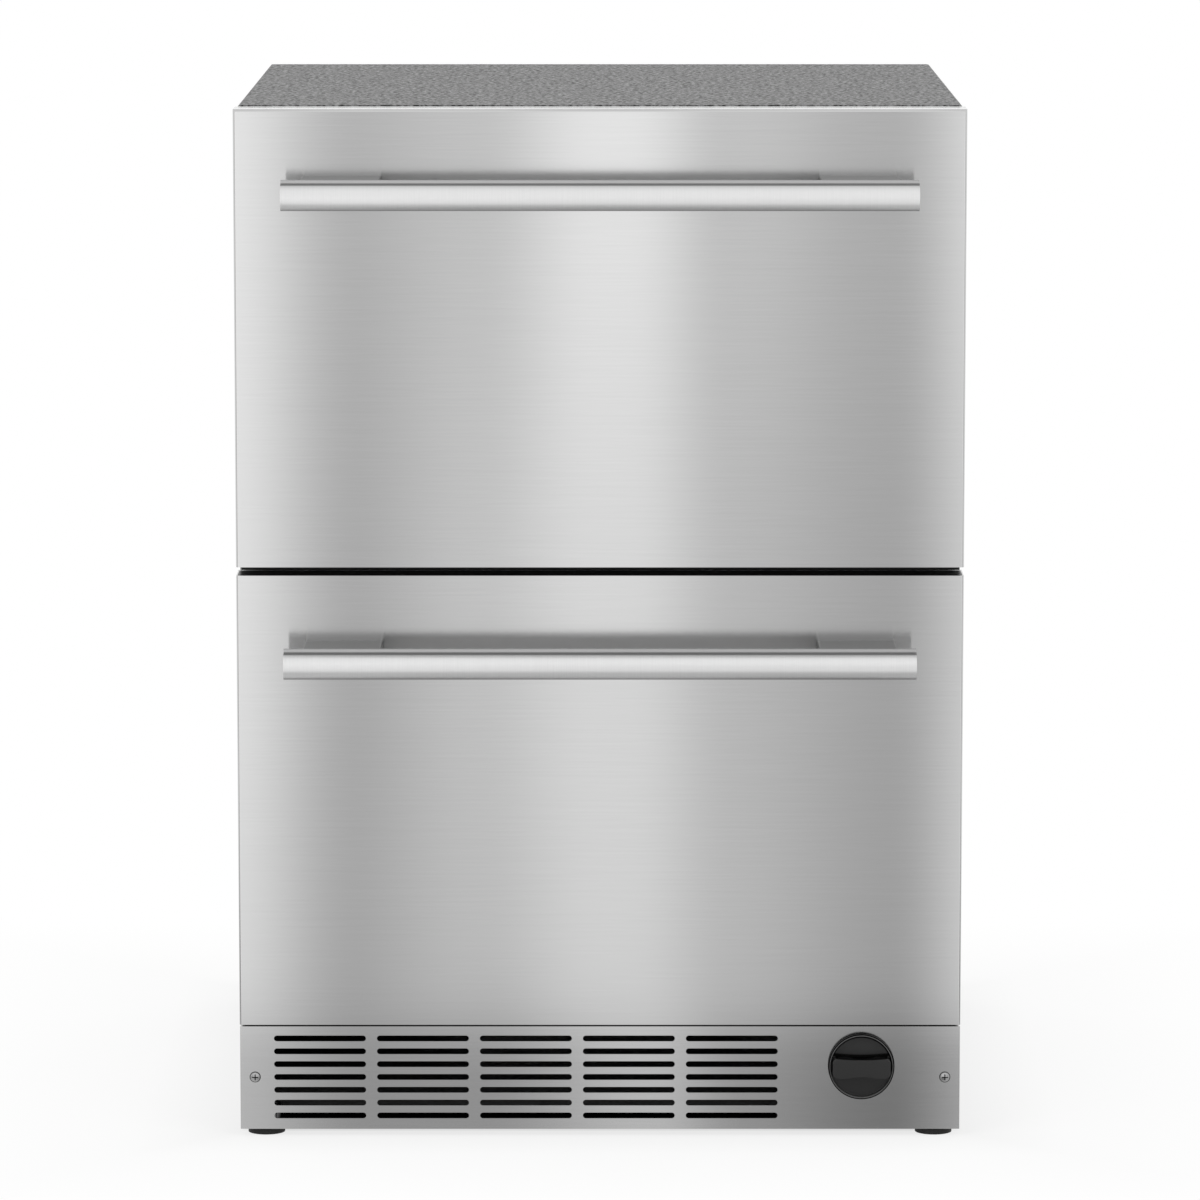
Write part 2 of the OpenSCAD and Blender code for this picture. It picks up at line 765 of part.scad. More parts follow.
module compressor_grommets() {
    color("#2a2a2c")
    for (x = [-1, 1], y = [-1, 1])
        translate([comp_x + x*foot_dx, comp_y + y*foot_dy, pan_top])
            rotate_extrude()
                polygon([
                    [0, 0], [10, 0], [10, grommet_h*0.4], [8, grommet_h*0.5], [10, grommet_h*0.6],
                    [10, grommet_h], [4.8, grommet_h], [4.8, grommet_h + foot_plate],
                    [7, grommet_h + foot_plate], [6, grommet_h + foot_plate + 4],
                    [0, grommet_h + foot_plate + 4]
                ]);
}

// Zigzag tube in the plane of X and Z with fins across it
module coil(rows, pitch, half, r, fins, fin_d, fin_over) {
    for (k = [0:rows - 1])
        translate([-half, 0, k*pitch]) rotate([0, 90, 0]) cylinder(r = r, h = 2*half);
    for (k = [0:rows - 2])
        translate([(k % 2 == 0 ? 1 : -1)*half, 0, (k + 0.5)*pitch]) rotate([90, 0, 0])
            intersection() {
                rotate_extrude() translate([pitch/2, 0]) circle(r);
                translate([k % 2 == 0 ? 0 : -pitch, -pitch, -pitch]) cube([pitch, 2*pitch, 2*pitch]);
            }
    for (i = [0:fins - 1])
        translate([-half + 8 + i*(2*half - 16)/(fins - 1) - fin_t/2, -fin_d/2, -fin_over])
            cube([fin_t, fin_d, (rows - 1)*pitch + 2*fin_over]);
}

module evaporator() {
    color("#c9ccce") {
        translate([0, coil_y, coil_low])
            coil(coil_rows, coil_pitch, coil_half, coil_tube_r, fin_count, 30, 12);
        // end plates that hang the coil on the back wall
        for (x = [-coil_half + 2, coil_half - 3])
            block([x, coil_y - 17, coil_low - 14], [x + 1, cavity_y, coil_high + 14]);
    }
}

module condenser() {
    color("#3a3b3d") {
        translate([cond_x, cond_y, cond_low]) rotate([0, 0, 90])
            coil(cond_rows, cond_pitch, cond_half, line_r, 15, 44, 10);
        // end plates that stand on the base pan
        for (y = [cond_y - cond_half + 2, cond_y + cond_half - 3])
            block([cond_x - 24, y, pan_top], [cond_x + 24, y + 1, cond_high + 12]);
    }
}

module condenser_fan_motor() {
    ring_r = condenser_fan_r + fan_gap;
    color("#55585b") {
        // sheet with the fan's ring, and the motor's bracket across it
        along_x(cfan_x - shroud_t/2, cfan_x + shroud_t/2)
            difference() {
                translate([machine_y + case_t, pan_top])
                    square([back_y - pan_t - machine_y - case_t, cfan_z + ring_r + 6 - pan_top]);
                translate([cond_y, cfan_z]) circle(ring_r);
            }
        for (z = [-1, 1])
            block([cfan_x + 24, cond_y - 7, cfan_z + (z > 0 ? 15 : -ring_r - 5)],
                  [cfan_x + 26, cond_y + 7, cfan_z + (z > 0 ? ring_r + 5 : -15)]);
        for (z = [-1, 1])
            translate([cfan_x + shroud_t/2 - eps, cond_y, cfan_z + z*(ring_r + 2)]) rotate([0, 90, 0])
                cylinder(r = 3, h = 26 - shroud_t/2);
        translate([cfan_x + 12, cond_y, cfan_z]) rotate([0, 90, 0]) cylinder(r = 20, h = 26);
        translate([cfan_x - 7, cond_y, cfan_z]) rotate([0, 90, 0]) cylinder(r = shaft_r, h = 20);
    }
}

module condenser_fan() {
    color("#222325") translate([cfan_x, cond_y, cfan_z]) rotate([0, 0, -90])
        fan(condenser_fan_r, 18, 12, 5, 25, 30);
}

module refrigerant_tubes() {
    color("#b87333") {
        pipe(suction_line, line_r);
        pipe(discharge_line, capillary_r*2);
        pipe(liquid_line, capillary_r*2);
        pipe(capillary_line, capillary_r);
        // filter-drier
        translate([drier_x, drier_y, cond_low + 12]) cylinder(r = drier_r, h = drier_h);
    }
}

module drain_pan() {
    low = [case_in - 154.5, machine_y + 16];
    high = [case_in - 38.5, sheet_y - 12];
    wall = 2;
    high_z = pan_top + 24;
    r = 10;
    color("#2c2d2f")
    difference() {
        along_z(pan_top, high_z) round_span(low, high, r);
        along_z(pan_top + wall, high_z + eps)
            round_span(low + [wall, wall], high - [wall, wall], r - wall);
    }
}

module control_box() {
    box_h = 74;
    low_z = machine_top - case_t - box_h;
    low = [case_in - 150.5, machine_y + 26];
    high = [case_in - 32.5, sheet_y - 42];
    line = 1;           // width and depth of the lid's joint line
    color("#2e3033")
    difference() {
        union() {
            along_z(low_z, machine_top - case_t) round_span(low, high, 5);
            // run capacitor on its side
            translate([low[0] + 26, low[1], low_z + 30]) rotate([90, 0, 0]) cylinder(r = 15, h = 18);
        }
        difference() {
            along_z(low_z + 20, low_z + 20 + line) round_span(low - [line, line], high + [line, line], 5);
            along_z(low_z + 19, low_z + 21 + line)
                round_span(low + [line, -20], high - [line, line], 4);
        }
    }
}

module water_valve() {
    w = valve_body[0]/2;
    h = valve_body[2]/2;
    front = valve_y - 6 - valve_body[1];
    bore = valve_r - 3.5;
    plate = 2;
    reach = valve_foot - w + 1;     // from the block's side to the end of the foot
    color("#e6e6e2") {
        block([valve_x - w, front, valve_z - h], [valve_x + w, valve_y - 6, valve_z + h]);
        disc_y(valve_x, valve_z, valve_r + 2.9, valve_y - 6 - eps, valve_y);
        // solenoid on top, and the threaded inlet
        translate([valve_x, front + w, valve_z + h - eps]) cylinder(r = 12, h = 30);
        difference() {
            disc_y(valve_x, valve_z, valve_r, valve_y - eps, back_y - 2);
            disc_y(valve_x, valve_z, bore, valve_y + 2, back_y - 2 + eps);
        }
        // bracket to the cover
        along_z(valve_z - h + 4, valve_z + h - 4)
            translate([valve_x - w + 1 - reach, 0]) {
                translate([reach/2 - plate, valve_y - 10]) square([reach/2 + plate, plate]);
                translate([reach/2 - plate, valve_y - 10]) square([plate, sheet_y - valve_y + 10]);
                translate([0, sheet_y - plate]) square([reach/2, plate]);
            }
        pipe(water_in, tube_r);
        pipe(water_out, tube_r);
    }
}

module cord_bushing() {
    color("#1b1b1c") translate([cord_x, back_y, cord_z]) rotate([90, 0, 0])
        rotate_extrude()
            polygon([
                [cord_r, 0], [cord_hole_r, 0], [cord_hole_r, case_t],
                [cord_hole_r + 3, case_t], [cord_hole_r + 2, case_t + 3], [cord_hole_r - 1, 9], [cord_r, 9]
            ]);
}

// ---- inside fittings ----

fitting_y = case_y + 22;        // front of the lights and of the temperature control

module cabinet_lights() {
    half = wall_x - 140.5;
    h = 7;
    color("#f7f6ee")
    for (z = [ceil_z, lower_ceil])
        difference() {
            block([-half, fitting_y, z - h], [half, fitting_y + 16, z]);
            // the lens stands in a recess in front
            block([-half + 10, fitting_y - eps, z - h - eps], [half - 10, fitting_y + 3, z - 5]);
        }
}

module temperature_control() {
    left = wall_x - 110.5;
    right = wall_x - 24.5;
    h = 18;
    deep = 62;
    pad = [16, 7];
    color("#d9dadb")
    difference() {
        along_y(fitting_y, fitting_y + deep) round_span([left, ceil_z - h], [right, ceil_z], 4);
        // three touch pads on the front and slots for the sensor's air
        along_y(fitting_y - eps, fitting_y + 0.8)
            for (i = [-1:1])
                translate([(left + right)/2 + i*25, ceil_z - h/2]) round_rect(pad[0], pad[1], 3);
        for (i = [0:5])
            block([left + 10, fitting_y + 16 + i*7, ceil_z - h - eps],
                  [right - 10, fitting_y + 19 + i*7, ceil_z - h + 2]);
    }
}

// ---- toe grille ----

module toe_grille() {
    color("#9fa1a2")
    difference() {
        union() {
            block([-front_w/2, grille_y, grille_low], [front_w/2, pan_y, grille_top]);
            both_sides()
                block([front_w/2 - grille_t, grille_y, grille_low],
                      [front_w/2, grille_y + grille_fold, grille_top]);
            block([-front_w/2, grille_y, grille_top - grille_t],
                  [front_w/2, grille_y + grille_fold, grille_top]);
        }
        along_y(grille_y - eps, pan_y + eps)
            translate([-front_w/2 + slot_left + slot_len/2, slot_mid_z])
                for (i = [0:slot_cols - 1], j = [0:slot_rows - 1])
                    translate([i*slot_pitch_x,
                               (j - (slot_rows - 1)/2)*slot_pitch_z])
                        slot_shape(slot_len, slot_h);
        disc_y(filter_x, filter_z, cap_r + seat_gap, grille_y - eps, pan_y + eps);
        both_sides() disc_y(screw_x, screw_z, screw_r + run_gap, grille_y - eps, pan_y + eps);
    }
}

// Pan-head screw along Y with its head's seat at y = 0, and a cross recess
module pan_screw(r, head_r, len) {
    head_h = head_r*0.5;
    difference() {
        union() {
            rotate([-90, 0, 0]) cylinder(r = r, h = len);
            intersection() {
                disc_y(0, 0, head_r, -head_h, 0);
                translate([0, head_r*1.25 - head_h, 0]) sphere(head_r*1.25);
            }
        }
        for (a = [0, 90])
            rotate([0, a, 0]) translate([-head_r*0.55, -head_h - eps, -head_r*0.1])
                cube([head_r*1.1, head_h*0.75, head_r*0.2]);
    }
}

module grille_screws() {
    color("#b8babb")
    for (x = [-1, 1])
        translate([x*screw_x, grille_y, screw_z]) pan_screw(screw_r, screw_head_r, screw_len);
}

// ---- water filter ----

// All along Y: distances behind the grille's face
skirt_back = 5;          // back of the cap's skirt
spigot_back = 12;        // back of the cap's spigot
nose_r = 6;              // nose of the cartridge, which turns in the cap's spigot
nose_len = 9;
cart_y = grille_y + spigot_back + seat_gap;

module filter_housing() {
    collar_r = cap_r + seat_gap;
    bore_r = cartridge_r + seat_gap;
    color("#dcdedf")
    difference() {
        union() {
            disc_y(filter_x, filter_z, collar_r + housing_t, pan_y, grille_y + skirt_back + 3);
            disc_y(filter_x, filter_z, bore_r + housing_t, pan_y, head_y);
            // head with its two ports
            for (x = [-1, 1])
                disc_y(filter_x + x*port_dx, filter_z, tube_r + 2.5, head_y - 12, head_y);
            // saddles on the base pan
            for (y = [grille_y + 40, head_y - 50])
                block([filter_x - 17, y, pan_top], [filter_x + 17, y + 14, filter_z]);
        }
        disc_y(filter_x, filter_z, collar_r, grille_y, grille_y + skirt_back + seat_gap);
        disc_y(filter_x, filter_z, bore_r, grille_y, cart_y + cartridge_len + seat_gap);
    }
}

module filter_cartridge() {
    color("#e8ebee")
    difference() {
        union() {
            disc_y(filter_x, filter_z, cartridge_r, cart_y, cart_y + cartridge_len);
            disc_y(filter_x, filter_z, nose_r, cart_y - nose_len, cart_y + eps);
        }
        // grooves of the two sealing rings at the far end
        for (y = [cart_y + cartridge_len - 14, cart_y + cartridge_len - 8])
            difference() {
                disc_y(filter_x, filter_z, cartridge_r + 1, y, y + 3);
                disc_y(filter_x, filter_z, cartridge_r - 1.5, y - 1, y + 4);
            }
    }
}

module filter_cap() {
    dish = 4;
    rim = 2.2;
    front = grille_y - cap_reach;
    color("#2d2e30")
    difference() {
        union() {
            difference() {
                disc_y(filter_x, filter_z, cap_r, front, grille_y + skirt_back);
                disc_y(filter_x, filter_z, cap_r - rim, front - eps, front + dish);
            }
            // grip with a hollow for a finger on each side
            difference() {
                intersection() {
                    along_y(grille_y - grip_reach, front + dish + 1)
                        translate([filter_x, filter_z]) round_rect(grip_len, grip_h, 5);
                    disc_y(filter_x, filter_z, cap_r - rim, grille_y - grip_reach, front + dish + 1);
                }
                for (z = [-1, 1]) {
                    hollow_r = grip_len;
                    translate([0, 0, z*(grip_h/2 - grip_waist + hollow_r)])
                        disc_y(filter_x, filter_z, hollow_r, grille_y - grip_reach - 1, front + dish - eps);
                }
            }
            disc_y(filter_x, filter_z, cartridge_r - 0.5, grille_y, grille_y + spigot_back);
        }
        disc_y(filter_x, filter_z, nose_r + run_gap, cart_y - nose_len - 1, grille_y + spigot_back + eps);
    }
}

// ---- slides ----

// The cross-section is drawn in u, from the wall (0) to the bin (slide_t), and z.
race_in = ball_r + ball_gap;            // inside radius of a race
race_out = race_in + member_t;
lip = cage_t/2 + seat_gap;              // half the gap between facing races
cage_play = 0.25;                       // gap between a cage's web and its member's web
cage_gap = 0.4;                         // gap between a cage's web and the next race
u1 = member_t + cage_play + cage_t + cage_gap + race_out;
z1 = slide_h/2 - race_out;              // outer row of balls
mid_u = u1 - race_out;                  // web of the middle member
mid_h = z1 - race_in;                   // half height of the middle member
u2 = mid_u + u1;
z2 = mid_h - race_out;                  // inner row of balls
in_h = z2 - race_in;                    // half height of the drawer member

// Race round a ball: above its cage (side = 1) or below it (side = -1)
module race(u, z, side) {
    translate([u, z])
        difference() {
            circle(race_out);
            circle(race_in);
            translate([-race_out - 1, side > 0 ? -race_out - 1 : -lip])
                square([2*race_out + 2, race_out + 1 + lip]);
        }
}

// Each profile is drawn for its upper half and mirrored below
module both_halves() {
    children();
    mirror([0, 1]) children();
}

module cabinet_profile() {
    both_halves() {
        square([member_t, slide_h/2]);
        difference() {
            translate([0, slide_h/2 - member_t]) square([u1, member_t]);
            translate([u1, z1]) circle(race_in + member_t/2);
        }
        race(u1, z1, 1);
    }
}

module middle_profile() {
    both_halves() {
        translate([mid_u, 0]) square([member_t, mid_h]);
        difference() {
            translate([mid_u, mid_h - member_t]) square([u2 - mid_u, member_t]);
            translate([u1, z1]) circle(race_in + member_t/2);
            translate([u2, z2]) circle(race_in + member_t/2);
        }
        race(u1, z1, -1);
        race(u2, z2, 1);
    }
}

module drawer_profile() {
    both_halves() {
        translate([slide_t - member_t, 0]) square([member_t, in_h]);
        difference() {
            translate([u2, in_h - member_t]) square([slide_t - u2, member_t]);
            translate([u2, z2]) circle(race_in + member_t/2);
        }
        race(u2, z2, -1);
    }
}

// Flange of a cage in the gap between two races, with its web
module cage_profile(web_u, u, z) {
    both_halves() {
        translate([web_u, 0]) square([cage_t, z + cage_t/2]);
        translate([web_u, z - cage_t/2]) square([u + race_in - web_u + 1, cage_t]);
    }
}

// Profile drawn in u and z, drawn out along Y on both side walls
module on_walls(y0, y1, z) {
    both_sides()
        along_y(y0, y1) translate([wall_x, z]) mirror([1, 0]) children();
}

upper_slide_z = upper_floor + slide_rise;
lower_slide_z = lower_floor + slide_rise;

module slide_rails() {
    color("#b9bcbe")
    for (z = [upper_slide_z, lower_slide_z])
        on_walls(slide_y, slide_y + slide_len, z) cabinet_profile();
}

module slide_middles(z) {
    color("#c2c5c7") on_walls(slide_y, slide_y + slide_len, z) middle_profile();
}

// Drawer members with the brackets that the drawer front is screwed to
module drawer_members(z) {
    color("#b3b6b8") {
        on_walls(bin_y, slide_y + slide_len, z) drawer_profile();
        both_sides()
            block([wall_x - slide_t, bin_y, z - 60], [wall_x - 1.5, bin_y + bracket_t, z + 34]);
    }
}

// Cage with its two rows of balls on each side
module cages(z, web_u, u, row) {
    y0 = slide_y + (slide_len - cage_len)/2;
    pitch = cage_len/ball_count;
    color("#9a8f6a") {
        both_sides()
            difference() {
                along_y(y0, y0 + cage_len) translate([wall_x, z]) mirror([1, 0]) cage_profile(web_u, u, row);
                for (i = [0:ball_count - 1], s = [-1, 1])
                    translate([wall_x - u, y0 + (i + 0.5)*pitch, z + s*row - 2])
                        cylinder(r = ball_r + run_gap, h = 4);
            }
        both_sides()
            for (i = [0:ball_count - 1], s = [-1, 1])
                translate([wall_x - u, y0 + (i + 0.5)*pitch, z + s*row]) sphere(ball_r);
    }
}

module outer_cages(z) {
    cages(z, member_t + cage_play, u1, z1);
}

module inner_cages(z) {
    cages(z, mid_u + member_t + cage_play, u2, z2);
}

// ---- drawer fronts ----

// Outline of a front in X and Y: square at the back, rounded folds in front
module tray_outline(w, y0, y1, r) {
    translate([-w/2 + r, y0]) square([w - 2*r, y1 - y0]);
    translate([-w/2, y0 + r]) square([w, y1 - y0 - r]);
    for (x = [-1, 1]) translate([x*(w/2 - r), y0 + r]) circle(r);
}

// The same in Y and Z, with a rounded fold at the top only
module tray_side(y0, y1, z0, z1, r) {
    translate([y0 + r, z0]) square([y1 - y0 - r, z1 - z0]);
    translate([y0, z0]) square([y1 - y0, z1 - z0 - r]);
    translate([y0 + r, z1 - r]) circle(r);
}

// Folded steel skin of a drawer front; its top is folded back too if folded_top
module front_skin(z, folded_top) {
    high = z + front_h;
    inner_r = fold_r - skin_t;
    color("#c4c6c7")
    difference() {
        intersection() {
            along_z(z, high) tray_outline(front_w, front_y, panel_y, fold_r);
            along_x(-front_w/2, front_w/2) {
                if (folded_top) tray_side(front_y, panel_y, z, high, fold_r);
                else translate([front_y, z]) square([panel_y - front_y, front_h]);
            }
        }
        intersection() {
            along_z(z - eps, high + eps)
                tray_outline(front_w - 2*skin_t, front_y + skin_t, panel_y + eps, inner_r);
            along_x(-front_w/2, front_w/2) {
                if (folded_top) tray_side(front_y + skin_t, panel_y + 2*eps, z - 2*eps, high - skin_t, inner_r);
                else translate([front_y, z - eps]) square([front_t, front_h + 2*eps]);
            }
        }
        post_holes(z, front_y - eps, front_y + skin_t + eps);
    }
}

// The space between the end caps, inside the skin
module front_core(z, folded_top) {
    high = z + front_h - (folded_top ? skin_t : cap_t);
    color("#e8d9a0")
    difference() {
        intersection() {
            along_z(z + cap_t, high)
                tray_outline(front_w - 2*skin_t, front_y + skin_t, panel_y, fold_r - skin_t);
            along_x(-front_w/2, front_w/2) {
                if (folded_top) tray_side(front_y + skin_t, panel_y + 1, z, high, fold_r - skin_t);
                else translate([front_y, z]) square([front_t, front_h]);
            }
        }
        post_holes(z, front_y, front_y + skin_t + post_screw_len + 1);
    }
}

module end_cap(z0) {
    color("#17181a")
        along_z(z0, z0 + cap_t)
            tray_outline(front_w - 2*skin_t, front_y + skin_t, panel_y, fold_r - skin_t);
}

// Inner panel: a plate with the gasket's groove and a dished plug
module inner_panel(z, floor_z, top_z) {
    high = z + front_h;
    low_plug = [-wall_x + hand_gap, floor_z + hand_gap];
    high_plug = [wall_x - hand_gap, top_z - hand_gap];
    color("#eceeec")
    difference() {
        union() {
            block([-front_w/2, panel_y, z], [front_w/2, door_y, high]);
            along_y(door_y - eps, bin_y) round_span(low_plug, high_plug, liner_r - hand_gap);
        }
        gasket_ring(z, groove_d, gasket_foot, door_y + eps);
    }
}

// Ring of the gasket's foot (foot wide, down into the panel) up to y1
module gasket_ring(z, d, foot, y1) {
    mid = gasket_inset + gasket_w/2;
    along_y(door_y - d, y1)
        difference() {
            round_span([-front_w/2 + mid - foot/2, z + mid - foot/2],
                       [front_w/2 - mid + foot/2, z + front_h - mid + foot/2], 4);
            round_span([-front_w/2 + mid + foot/2, z + mid + foot/2],
                       [front_w/2 - mid - foot/2, z + front_h - mid - foot/2], 1.5);
        }
}

module gasket(z) {
    color("#9b9d9f") {
        gasket_ring(z, groove_d, gasket_foot, door_y + eps);
        // soft bellows, with a groove round it
        gasket_band(z, gasket_w, door_y, door_y + seal_gap*0.35);
        gasket_band(z, gasket_w - 3, door_y, door_y + seal_gap*0.6);
        gasket_band(z, gasket_w, door_y + seal_gap*0.55, case_y - seat_gap);
    }
}

module gasket_band(z, w, y0, y1) {
    mid = gasket_inset + gasket_w/2;
    along_y(y0, y1)
        difference() {
            round_span([-front_w/2 + mid - w/2, z + mid - w/2],
                       [front_w/2 - mid + w/2, z + front_h - mid + w/2], 4);
            round_span([-front_w/2 + mid + w/2, z + mid + w/2],
                       [front_w/2 - mid - w/2, z + front_h - mid - w/2], 1.5);
        }
}

// ---- handles ----

post_screw_len = 16;
post_mid = handle_len/2 - post_inset - post_w/2;

// Holes of the screws that hold the posts, between two depths
module post_holes(z, y0, y1) {
    mid_z = z + front_h - handle_drop + plate_rise - post_h/2;
    both_sides()
        for (x = [-1, 1])
            disc_y(post_mid + x*post_w*0.28, mid_z, post_screw_r, y0, y1);
}

module handle_bar(z) {
    mid_z = z + front_h - handle_drop;
    edge = 0.6;
    color("#d2d4d5")
        along_x(-handle_len/2, handle_len/2)
            translate([bar_y, mid_z]) {
                // half round in front of a flat plate with softened edges
                difference() {
                    circle(bar_r);
                    translate([0, -bar_r - 1]) square([bar_r + 1, 2*bar_r + 2]);
                }
                translate([0, -bar_r]) square([plate_t - edge, bar_r + plate_rise - edge]);
                translate([edge, -bar_r]) square([plate_t - 2*edge, bar_r + plate_rise]);
                translate([0, -bar_r + edge]) square([plate_t, bar_r + plate_rise - 2*edge]);
                translate([edge, plate_rise - edge]) circle(edge);
                translate([plate_t - edge, plate_rise - edge]) circle(edge);
                translate([plate_t - edge, -bar_r + edge]) circle(edge);
            }
}

module handle_posts(z) {
    high = z + front_h - handle_drop + plate_rise;
    color("#c9cbcc") {
        both_sides()
            along_y(bar_y + plate_t, front_y)
                translate([post_mid, high - post_h/2]) round_rect(post_w, post_h, 1.5);
        // screws from inside the skin
        post_screws(z);
    }
}

module post_screws(z) {
    mid_z = z + front_h - handle_drop + plate_rise - post_h/2;
    both_sides()
        for (x = [-1, 1])
            disc_y(post_mid + x*post_w*0.28, mid_z, post_screw_r, front_y - eps, front_y + skin_t + post_screw_len);
}

// ---- bins ----

// Open bin with a folded rim, from y0 back to y1, between two heights
module bin_body(y0, y1, z0, z1) {
    along_z(z0, z1) round_span([-bin_w/2, y0], [bin_w/2, y1], bin_r);
}

module bin_hollow(y0, y1, z0, z1) {
    along_z(z0 + bin_t, z1 + eps)
        round_span([-bin_w/2 + bin_t, y0 + bin_t], [bin_w/2 - bin_t, y1 - bin_t], bin_r - bin_t);
}

module bin_rim(y0, y1, z1) {
    difference() {
        along_z(z1 - rim_h, z1) round_span([-bin_w/2 - rim_w, y0], [bin_w/2 + rim_w, y1 + rim_w], bin_r + rim_w/2);
        along_z(z1 - rim_h - eps, z1 - bin_t)
            round_span([-bin_w/2 - rim_w + bin_t, y0 - bin_t], [bin_w/2 + rim_w - bin_t, y1 + rim_w - bin_t], bin_r);
        along_z(z1 - rim_h - 2*eps, z1 + eps)
            round_span([-bin_w/2 + bin_t, y0 + bin_t], [bin_w/2 - bin_t, y1 - bin_t], bin_r - bin_t);
    }
}

module upper_bin() {
    z0 = upper_floor + bin_gap;
    z1 = z0 + bin_h;
    color("#f2f4f4")
    difference() {
        union() {
            bin_body(bin_y, bin_y + bin_d, z0, z1);
            bin_rim(bin_y, bin_y + bin_d, z1);
        }
        bin_hollow(bin_y, bin_y + bin_d, z0, z1);
    }
}

// The lower bin steps up over the machine compartment
module lower_bin() {
    z0 = lower_floor + bin_gap;
    z1 = z0 + bin_h;
    step_y = hump_y - bin_gap;
    step_z = hump_z + bin_gap;
    color("#f2f4f4")
    difference() {
        union() {
            bin_body(bin_y, step_y, z0, z1);
            bin_body(bin_y, bin_y + bin_d, step_z, z1);
            bin_rim(bin_y, bin_y + bin_d, z1);
        }
        bin_hollow(bin_y, step_y, z0, z1);
        bin_hollow(bin_y, bin_y + bin_d, step_z, z1);
    }
}

// ---- legs ----

bush_r = stud_r + 3.5;

module leg_sockets() {
    color("#d0d2d3")
    both_sides()
        for (y = [front_y + leg_front, back_y - leg_rear])
            translate([leg_x, y, 0])
                difference() {
                    union() {
                        translate([0, 0, foot_h + 2]) cylinder(r = bush_r, h = pan_top + 22 - foot_h - 2);
                        translate([0, 0, pan_top]) cylinder(r = bush_r + 4, h = 2.5);
                    }
                    cylinder(r = stud_r + run_gap, h = pan_top + 30);
                }
}

module leg(x, y) {
    hex_h = 2.5;            // height of the foot's hexagon for a spanner
    color("#1a1a1b") translate([x, y, 0]) {
        cylinder(r = foot_r, h = foot_h - hex_h);
        linear_extrude(foot_h) polygon([for (a = [0:60:300]) (foot_r - 2)*[cos(a), sin(a)]]);
        cylinder(r = stud_r, h = foot_h + stud_len);
    }
}

module leg_front_left() { leg(-leg_x, front_y + leg_front); }
module leg_front_right() { leg(leg_x, front_y + leg_front); }
module leg_rear_left() { leg(-leg_x, back_y - leg_rear); }
module leg_rear_right() { leg(leg_x, back_y - leg_rear); }

// ---- the two drawers ----

module upper_front_skin() { front_skin(upper_z, true); }
module upper_front_core() { front_core(upper_z, true); }
module upper_inner_panel() { inner_panel(upper_z, upper_floor, ceil_z); }
module upper_end_cap() { end_cap(upper_z); }
module upper_gasket() { gasket(upper_z); }
module upper_handle_bar() { handle_bar(upper_z); }
module upper_handle_posts() { handle_posts(upper_z); }
module upper_drawer_members() { drawer_members(upper_slide_z); }
module upper_slide_middles() { slide_middles(upper_slide_z); }
module upper_outer_cages() { outer_cages(upper_slide_z); }
module upper_inner_cages() { inner_cages(upper_slide_z); }

module lower_front_skin() { front_skin(lower_z, false); }
module lower_front_core() { front_core(lower_z, false); }
module lower_inner_panel() { inner_panel(lower_z, lower_floor, lower_ceil); }
module lower_end_caps() {
    end_cap(lower_z);
    end_cap(lower_z + front_h - cap_t);
}
module lower_gasket() { gasket(lower_z); }
module lower_handle_bar() { handle_bar(lower_z); }
module lower_handle_posts() { handle_posts(lower_z); }
module lower_drawer_members() { drawer_members(lower_slide_z); }
module lower_slide_middles() { slide_middles(lower_slide_z); }
module lower_outer_cages() { outer_cages(lower_slide_z); }
module lower_inner_cages() { inner_cages(lower_slide_z); }

outer_case();
rear_panel();
step_panel();
machine_cover();
base_pan();
foam_insulation();
upper_liner();
lower_liner();
mullion_trim();
evaporator();
evaporator_cover();
evaporator_fan_motor();
compressor();
compressor_grommets();
condenser();
condenser_fan_motor();
refrigerant_tubes();
drain_pan();
temperature_control();
control_box();
cabinet_lights();
toe_grille();
grille_screws();
filter_housing();
water_valve();
leg_sockets();
cord_bushing();
slide_rails();
upper_front_skin();
upper_front_core();
upper_inner_panel();
upper_end_cap();
upper_gasket();
upper_handle_bar();
upper_handle_posts();
upper_bin();
upper_drawer_members();
lower_front_skin();
lower_front_core();
lower_inner_panel();
lower_end_caps();
lower_gasket();
lower_handle_bar();
lower_handle_posts();
lower_bin();
lower_drawer_members();
upper_slide_middles();
lower_slide_middles();
upper_outer_cages();
upper_inner_cages();
lower_outer_cages();
lower_inner_cages();
evaporator_fan();
condenser_fan();
filter_cartridge();
filter_cap();
leg_front_left();
leg_front_right();
leg_rear_left();
leg_rear_right();
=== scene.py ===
# %% [markdown]
# # Undercounter drawer refrigerator
#
# The real object is a built-under refrigerator with two stacked stainless drawers, a slotted
# toe grille and a grey powder-coated case. Its metal, plastic and moving pieces are already
# solid models, so this script does what a finisher does: it gives each of them the surface
# that the factory gives it, adds the threads of the legs, and sets up the studio.

# %% Load the solid model
import json
import math

